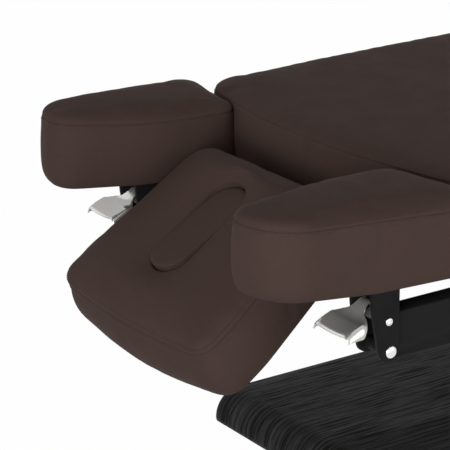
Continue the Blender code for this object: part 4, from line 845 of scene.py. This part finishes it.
def face_plug(outline):
    """The loose plug in the face slot, proud at the head end and sunk at the other."""
    start = SLOT_CENTRE - SLOT_HALF_LENGTH
    seat = -HEADREST_HEIGHT + HEADREST_BOARD + PLUG_CLEARANCE

    def lean(x):
        share = (x - start) / (2 * SLOT_HALF_LENGTH)
        return HEADREST_CROWN + PLUG_PROUD - (PLUG_PROUD + PLUG_SUNK) * share

    rings = [slot_ring(outline, trim + PLUG_CLEARANCE, seat + height) for trim, height in PLUG_FOOT]
    for trim, drop in PLUG_ROLL:
        level = slot_ring(outline, trim + PLUG_CLEARANCE, 0.0)
        rings.append([Vector((p.x, p.y, lean(p.x) - drop)) for p in level])
    piece = skin("face_plug_cover", on_slope(rings))
    soften(piece, PLUG_GIVE, PLUG_SEED, range(len(outline) * len(PLUG_FOOT)))
    smoother(piece)
    settle(piece, "face_plug", "upholstery", VINYL, "face_plug")


# Steel, chrome and wood

def bevelled(node, width, segments):
    """A copy of a steel node with its sharp edges broken, which stands for it."""
    bm = bmesh.new()
    bm.from_mesh(frame["nodes"][node].data)
    bmesh.ops.remove_doubles(bm, verts=bm.verts, dist=SAME_PLACE)
    bmesh.ops.dissolve_limit(bm, angle_limit=FLAT_ANGLE, verts=bm.verts, edges=bm.edges)
    sharp = [e for e in bm.edges if e.is_manifold and e.calc_face_angle(0.0) > BEVEL_ANGLE]
    bmesh.ops.bevel(
        bm, geom=sharp, offset=width, segments=segments, affect="EDGES", profile=0.5, clamp_overlap=True,
    )
    bmesh.ops.recalc_face_normals(bm, faces=bm.faces)
    piece = to_object(f"{node}_dressed", bm)
    piece.data.set_sharp_from_angle(angle=STEEL_CREASE)
    settle(piece, BODY_OF[node], SLOT_OF[node], COAT, node)


def plinth():
    """The plank: its profile swept across, with the grain unrolled along the profile."""
    low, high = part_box("plinth")
    profile = rounded([
        (low.x, low.z, PLINTH_LOWER_RADIUS), (high.x, low.z, PLINTH_LOWER_RADIUS),
        (high.x, high.z, PLINTH_END_RADIUS), (low.x, high.z, PLINTH_END_RADIUS),
    ], PLINTH_SPACING)
    normals = inward(profile)
    half = (high.y - low.y) / 2
    flat_half = half - PLINTH_EDGE
    turned = PLINTH_EDGE * PLINTH_EDGE_MIDDLE
    edge = [(PLINTH_EDGE, -half), (turned, -half + turned), (0.0, -flat_half)]
    strips = [(0.0, -flat_half + flat_half * 2 * k / PLINTH_STRIPS) for k in range(1, PLINTH_STRIPS)]
    levels = edge + strips + [(inset, -y) for inset, y in reversed(edge)]
    rings = [
        [Vector((p.x + n.x * inset, y, p.y + n.y * inset)) for p, n in zip(profile, normals)]
        for inset, y in levels
    ]
    piece = skin("plinth_dressed", rings, capped=True)
    unroll(piece, profile, half)
    piece.data.set_sharp_from_angle(angle=PLINTH_CREASE)
    settle(piece, "base", "black_wood", WOOD, "plinth")


def unroll(piece, profile, half):
    """UVs in metres: the distance round the profile and the place across the plank, or flat on its ends."""
    count = len(profile)
    reach = [0.0]
    for i in range(count):
        reach.append(reach[-1] + (profile[(i + 1) % count] - profile[i]).length)
    layer = piece.data.uv_layers.new(name="grain")
    for polygon in piece.data.polygons:
        columns = [piece.data.loops[k].vertex_index % count for k in polygon.loop_indices]
        wraps = polygon.loop_total == 4 and max(columns) - min(columns) > count / 2
        flat = polygon.loop_total > 4
        for k, column in zip(polygon.loop_indices, columns):
            co = piece.data.vertices[piece.data.loops[k].vertex_index].co
            travel = reach[count] if wraps and column == 0 else reach[column]
            layer.data[k].uv = (co.x, co.z + half * 2) if flat else (travel, co.y)


def lever_side(x):
    """How far the paddle's sides turn down at a place along the lever; none beside the bracket."""
    neck, tip = LEVER_SIDE_DEPTH
    travel = clamped((x - LEVER_SIDE_FROM) / (LEVER_ROWS[-1][0] - LEVER_SIDE_FROM))
    clear = clamped((LEVER_CLEAR_FROM - x) / LEVER_CLEAR_OVER)
    return clear * (neck + (tip - neck) * travel)


def lever(side, word):
    """A polished sheet lever: hub, narrow stem, flared neck and a dished paddle with turned-down sides."""
    axle = JOINT_PLACE[f"lever_pull_{word}"]
    middle = abs(axle.y)
    bm = bmesh.new()
    rows = []
    for x, z, wide in LEVER_ROWS:
        half = LEVER_STEM_HALF + (LEVER_PADDLE_HALF - LEVER_STEM_HALF) * wide
        centre = middle - LEVER_STEM_SHIFT * (1 - wide)
        depth = lever_side(x) * wide
        row = []
        for k in range(LEVER_COLUMNS + 1):
            share = 2 * k / LEVER_COLUMNS - 1
            level = min(1.0, abs(share) / LEVER_SIDE_START)
            over = max(0.0, (abs(share) - LEVER_SIDE_START) / (1 - LEVER_SIDE_START))
            reach = half * level + wide * LEVER_SIDE_ROUND * math.sin(over * math.pi / 2)
            dish = LEVER_DISH * wide * (level ** 2 - 1)
            drop = depth * over ** LEVER_SIDE_POWER
            y = centre + math.copysign(reach, share)
            row.append(bm.verts.new((axle.x + x, side * y, axle.z + z + dish - drop)))
        rows.append(row)
    for lower, upper in zip(rows, rows[1:]):
        for i in range(LEVER_COLUMNS):
            bm.faces.new((lower[i], lower[i + 1], upper[i + 1], upper[i]))
    bmesh.ops.recalc_face_normals(bm, faces=bm.faces)
    piece = to_object(f"armrest_lever_{word}_dressed", bm)
    thick = piece.modifiers.new("sheet", "SOLIDIFY")
    thick.thickness = LEVER_SHEET
    thick.offset = 0.0
    edge = piece.modifiers.new("edge", "BEVEL")
    edge.width = LEVER_EDGE
    edge.segments = 2
    edge.limit_method = "ANGLE"
    edge.angle_limit = LEVER_EDGE_ANGLE
    smoother(piece)
    settle(piece, f"lever_{word}", "chrome", CHROME, f"armrest_lever_{word}")
    hub(word, axle)


def lathe(bm, profile, start, axis, segments=LATHE_SEGMENTS, hexed=()):
    """Add a closed turned solid to a mesh: (distance, radius) rows, with some rows drawn as a hexagon."""
    axis = Vector(axis)
    across = Vector((0, 0, 1))
    other = axis.cross(across)
    sixth = math.pi / 3
    rows = []
    for index, (distance, radius) in enumerate(profile):
        row = []
        for k in range(segments):
            angle = 2 * math.pi * k / segments
            reach = radius
            if index in hexed:
                reach = radius * math.cos(sixth / 2) / math.cos((angle % sixth) - sixth / 2)
            turn = across * math.cos(angle) + other * math.sin(angle)
            row.append(bm.verts.new(Vector(start) + axis * distance + turn * reach))
        rows.append(row)
    for lower, upper in zip(rows, rows[1:]):
        for i in range(segments):
            j = (i + 1) % segments
            bm.faces.new((lower[i], lower[j], upper[j], upper[i]))
    bm.faces.new(reversed(rows[0]))
    bm.faces.new(rows[-1])


def hub(word, axle):
    """The sleeve that the lever's stem is welded to."""
    length = 2 * HUB_HALF
    shoulder = HUB_RADIUS - HUB_EDGE
    profile = [
        (0, HUB_BORE), (0, shoulder), (HUB_EDGE, HUB_RADIUS), (length - HUB_EDGE, HUB_RADIUS),
        (length, shoulder), (length, HUB_BORE),
    ]
    bm = bmesh.new()
    lathe(bm, profile, (axle.x, axle.y - HUB_HALF, axle.z), (0, 1, 0))
    bmesh.ops.recalc_face_normals(bm, faces=bm.faces)
    piece = to_object(f"lever_hub_{word}", bm)
    piece.data.set_sharp_from_angle(angle=STEEL_CREASE)
    settle(piece, f"lever_{word}", "chrome", CHROME)


def bolt_head(radius, height, socket):
    """Rows of a domed head, and which of them are drawn as the hexagon of a socket."""
    rim_up, rim_out = HEAD_RIM[-1]
    shares = list(HEAD_RIM)
    for k in range(1, HEAD_DOME_STEPS):
        angle = math.pi / 2 * k / HEAD_DOME_STEPS
        shares.append((rim_up + (1 - rim_up) * math.sin(angle), rim_out * math.cos(angle) ** HEAD_DOME_POWER))
    dome = [(height * up, radius * out) for up, out in shares]
    if not socket:
        return dome, ()
    key = radius * SOCKET_KEY
    dome = [row for row in dome if row[1] > key * SOCKET_RIM]
    top = dome[-1][0]
    depth, point = SOCKET_FLOOR
    hole = [(top + SOCKET_LIP, key), (top - height * SOCKET_WALL, key), (top - height * depth, key * point)]
    return dome + hole, (len(dome), len(dome) + 1)


def bolt(node, side, radius, head_radius, head_height, socket):
    """A domed bolt with a nut on its far end; a screw also has a hex socket."""
    low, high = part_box(node)
    x = (low.x + high.x) / 2
    z = (low.z + high.z) / 2
    head_face = high.y - head_height if side > 0 else low.y + head_height
    grip = (high.y - low.y) - head_height - radius * SHANK_END[-1][0]
    head_place = (x, head_face, z)
    nut_place = (x, head_face - side * grip, z)
    inwards = (0, -side, 0)
    nut = radius * NUT_RADIUS
    thick = radius * NUT_HEIGHT
    bevel = thick * NUT_BEVEL
    nut_rows = [(0, nut * NUT_END), (bevel, nut), (thick - bevel, nut), (thick, nut * NUT_END)]
    head_rows, hexed = bolt_head(head_radius, head_height, socket)
    bm = bmesh.new()
    lathe(bm, head_rows, head_place, (0, side, 0), hexed=hexed)
    lathe(bm, [(0, radius), (grip, radius)], head_place, inwards, SHANK_SEGMENTS)
    lathe(bm, nut_rows, nut_place, inwards, NUT_SEGMENTS, hexed=(1, 2))
    lathe(bm, [(radius * far, radius * out) for far, out in SHANK_END], nut_place, inwards, SHANK_SEGMENTS)
    bmesh.ops.recalc_face_normals(bm, faces=bm.faces)
    piece = to_object(f"{node}_dressed", bm)
    piece.data.set_sharp_from_angle(angle=BOLT_CREASE)
    settle(piece, BODY_OF[node], "zinc", ZINC, node)


# Stage

def photo_camera():
    """The camera that took the photograph."""
    camera = bpy.data.cameras.new("photo_camera")
    camera.lens = CAMERA_LENS
    camera.sensor_width = CAMERA_SENSOR
    camera.clip_end = CAMERA_RANGE
    eye = bpy.data.objects.new("photo_camera", camera)
    eye.location = CAMERA_PLACE
    eye.rotation_euler = CAMERA_TURN
    bpy.context.scene.collection.objects.link(eye)
    bpy.context.scene.camera = eye


def seen_directly(tree):
    """1 for camera, glossy and transmission rays, which see the white surroundings."""
    path = tree.nodes.new("ShaderNodeLightPath")
    either = path.outputs["Is Camera Ray"]
    for output in ("Is Glossy Ray", "Is Transmission Ray"):
        largest = tree.nodes.new("ShaderNodeMath")
        largest.operation = "MAXIMUM"
        tree.links.new(either, largest.inputs[0])
        tree.links.new(path.outputs[output], largest.inputs[1])
        either = largest.outputs[0]
    return either


def blend(tree, factor, first, second, output):
    """Mix two shaders into an output's surface."""
    mix = tree.nodes.new("ShaderNodeMixShader")
    tree.links.new(factor, mix.inputs[0])
    tree.links.new(first.outputs[0], mix.inputs[1])
    tree.links.new(second.outputs[0], mix.inputs[2])
    tree.links.new(mix.outputs[0], tree.nodes[output].inputs["Surface"])


def surroundings():
    """White where it is seen, and a soft even light elsewhere."""
    world = bpy.data.worlds.new("studio")
    bpy.context.scene.world = world
    world.use_nodes = True
    tree = world.node_tree
    light = tree.nodes["Background"]
    light.inputs["Color"].default_value = WHITE
    light.inputs["Strength"].default_value = WORLD_STRENGTH
    shown = tree.nodes.new("ShaderNodeBackground")
    shown.inputs["Color"].default_value = WHITE
    shown.inputs["Strength"].default_value = 1.0
    blend(tree, seen_directly(tree), light, shown, "World Output")


def floor():
    """A pale floor that reads as white and keeps a faint shadow."""
    bm = bmesh.new()
    bmesh.ops.create_grid(bm, x_segments=2, y_segments=2, size=FLOOR_REACH)
    ground = to_object("studio_floor", bm)
    surface = bpy.data.materials.new("studio_floor")
    surface.use_nodes = True
    tree = surface.node_tree
    shader = tree.nodes["Principled BSDF"]
    shader.inputs["Base Color"].default_value = FLOOR_TONE
    shader.inputs["Roughness"].default_value = FLOOR_ROUGHNESS
    shader.inputs["Specular IOR Level"].default_value = 0.0
    glow = tree.nodes.new("ShaderNodeEmission")
    glow.inputs["Color"].default_value = WHITE
    part = tree.nodes.new("ShaderNodeMath")
    part.operation = "MULTIPLY"
    part.inputs[1].default_value = FLOOR_GLOW
    tree.links.new(seen_directly(tree), part.inputs[0])
    blend(tree, part.outputs[0], shader, glow, "Material Output")
    ground.data.materials.append(surface)


def lamps():
    """Large soft lamps, all aimed at the head end."""
    for name, place, size, power in LAMPS:
        light = bpy.data.lights.new(name, "AREA")
        light.shape = "DISK"
        light.size = size
        light.energy = power
        lamp = bpy.data.objects.new(name, light)
        lamp.location = place
        lamp.rotation_euler = (LAMP_TARGET - Vector(place)).to_track_quat("-Z", "Y").to_euler()
        bpy.context.scene.collection.objects.link(lamp)


# Put it together
for node, piece in frame["nodes"].items():
    surface = PLY_SLOPED if node == "headrest_board" else FINISH[SLOT_OF[node]]
    piece.data.materials.clear()
    piece.data.materials.append(surface)

bpy.context.scene.view_settings.view_transform = "Standard"
photo_camera()
surroundings()
floor()
lamps()
face_plug(headrest())
pad("back_pad", "back", back_corners(), seed=1, joins=((BACK_HEAD, 0.0),))
pad("seat_pad", "chassis", flat_corners("seat_pad"), seed=2)
pad("leg_pad", "leg", flat_corners("leg_pad", LEG_FOOT_HALF, LEG_FOOT_CORNER), seed=3)
for hand, label in ((1, "left"), (-1, "right")):
    pad(
        f"armrest_pad_{label}", f"armrest_{label}", armrest_corners(hand, label), seed=ARMREST_SEED + hand,
        roll=ARMREST_ROLL, under=ARMREST_UNDER, skirt=ARMREST_SKIRT,
        lift=ARMREST_LIFT[label], fall=ARMREST_FALL[label], rise=ARMREST_RISE[label],
    )
    lever(hand, label)
    bolt(f"arm_pivot_bolt_{label}", hand, *ARM_PIVOT_BOLT, socket=False)
    bolt(f"lever_axle_bolt_{label}", hand, *LEVER_AXLE_SCREW, socket=True)
    bevelled(f"armrest_bracket_{label}", *BRACKET_BEVEL)
plinth()
for node, slot in SLOT_OF.items():
    if slot == "black_steel" and not node.startswith("armrest_bracket"):
        bevelled(node, *STEEL_BEVEL)
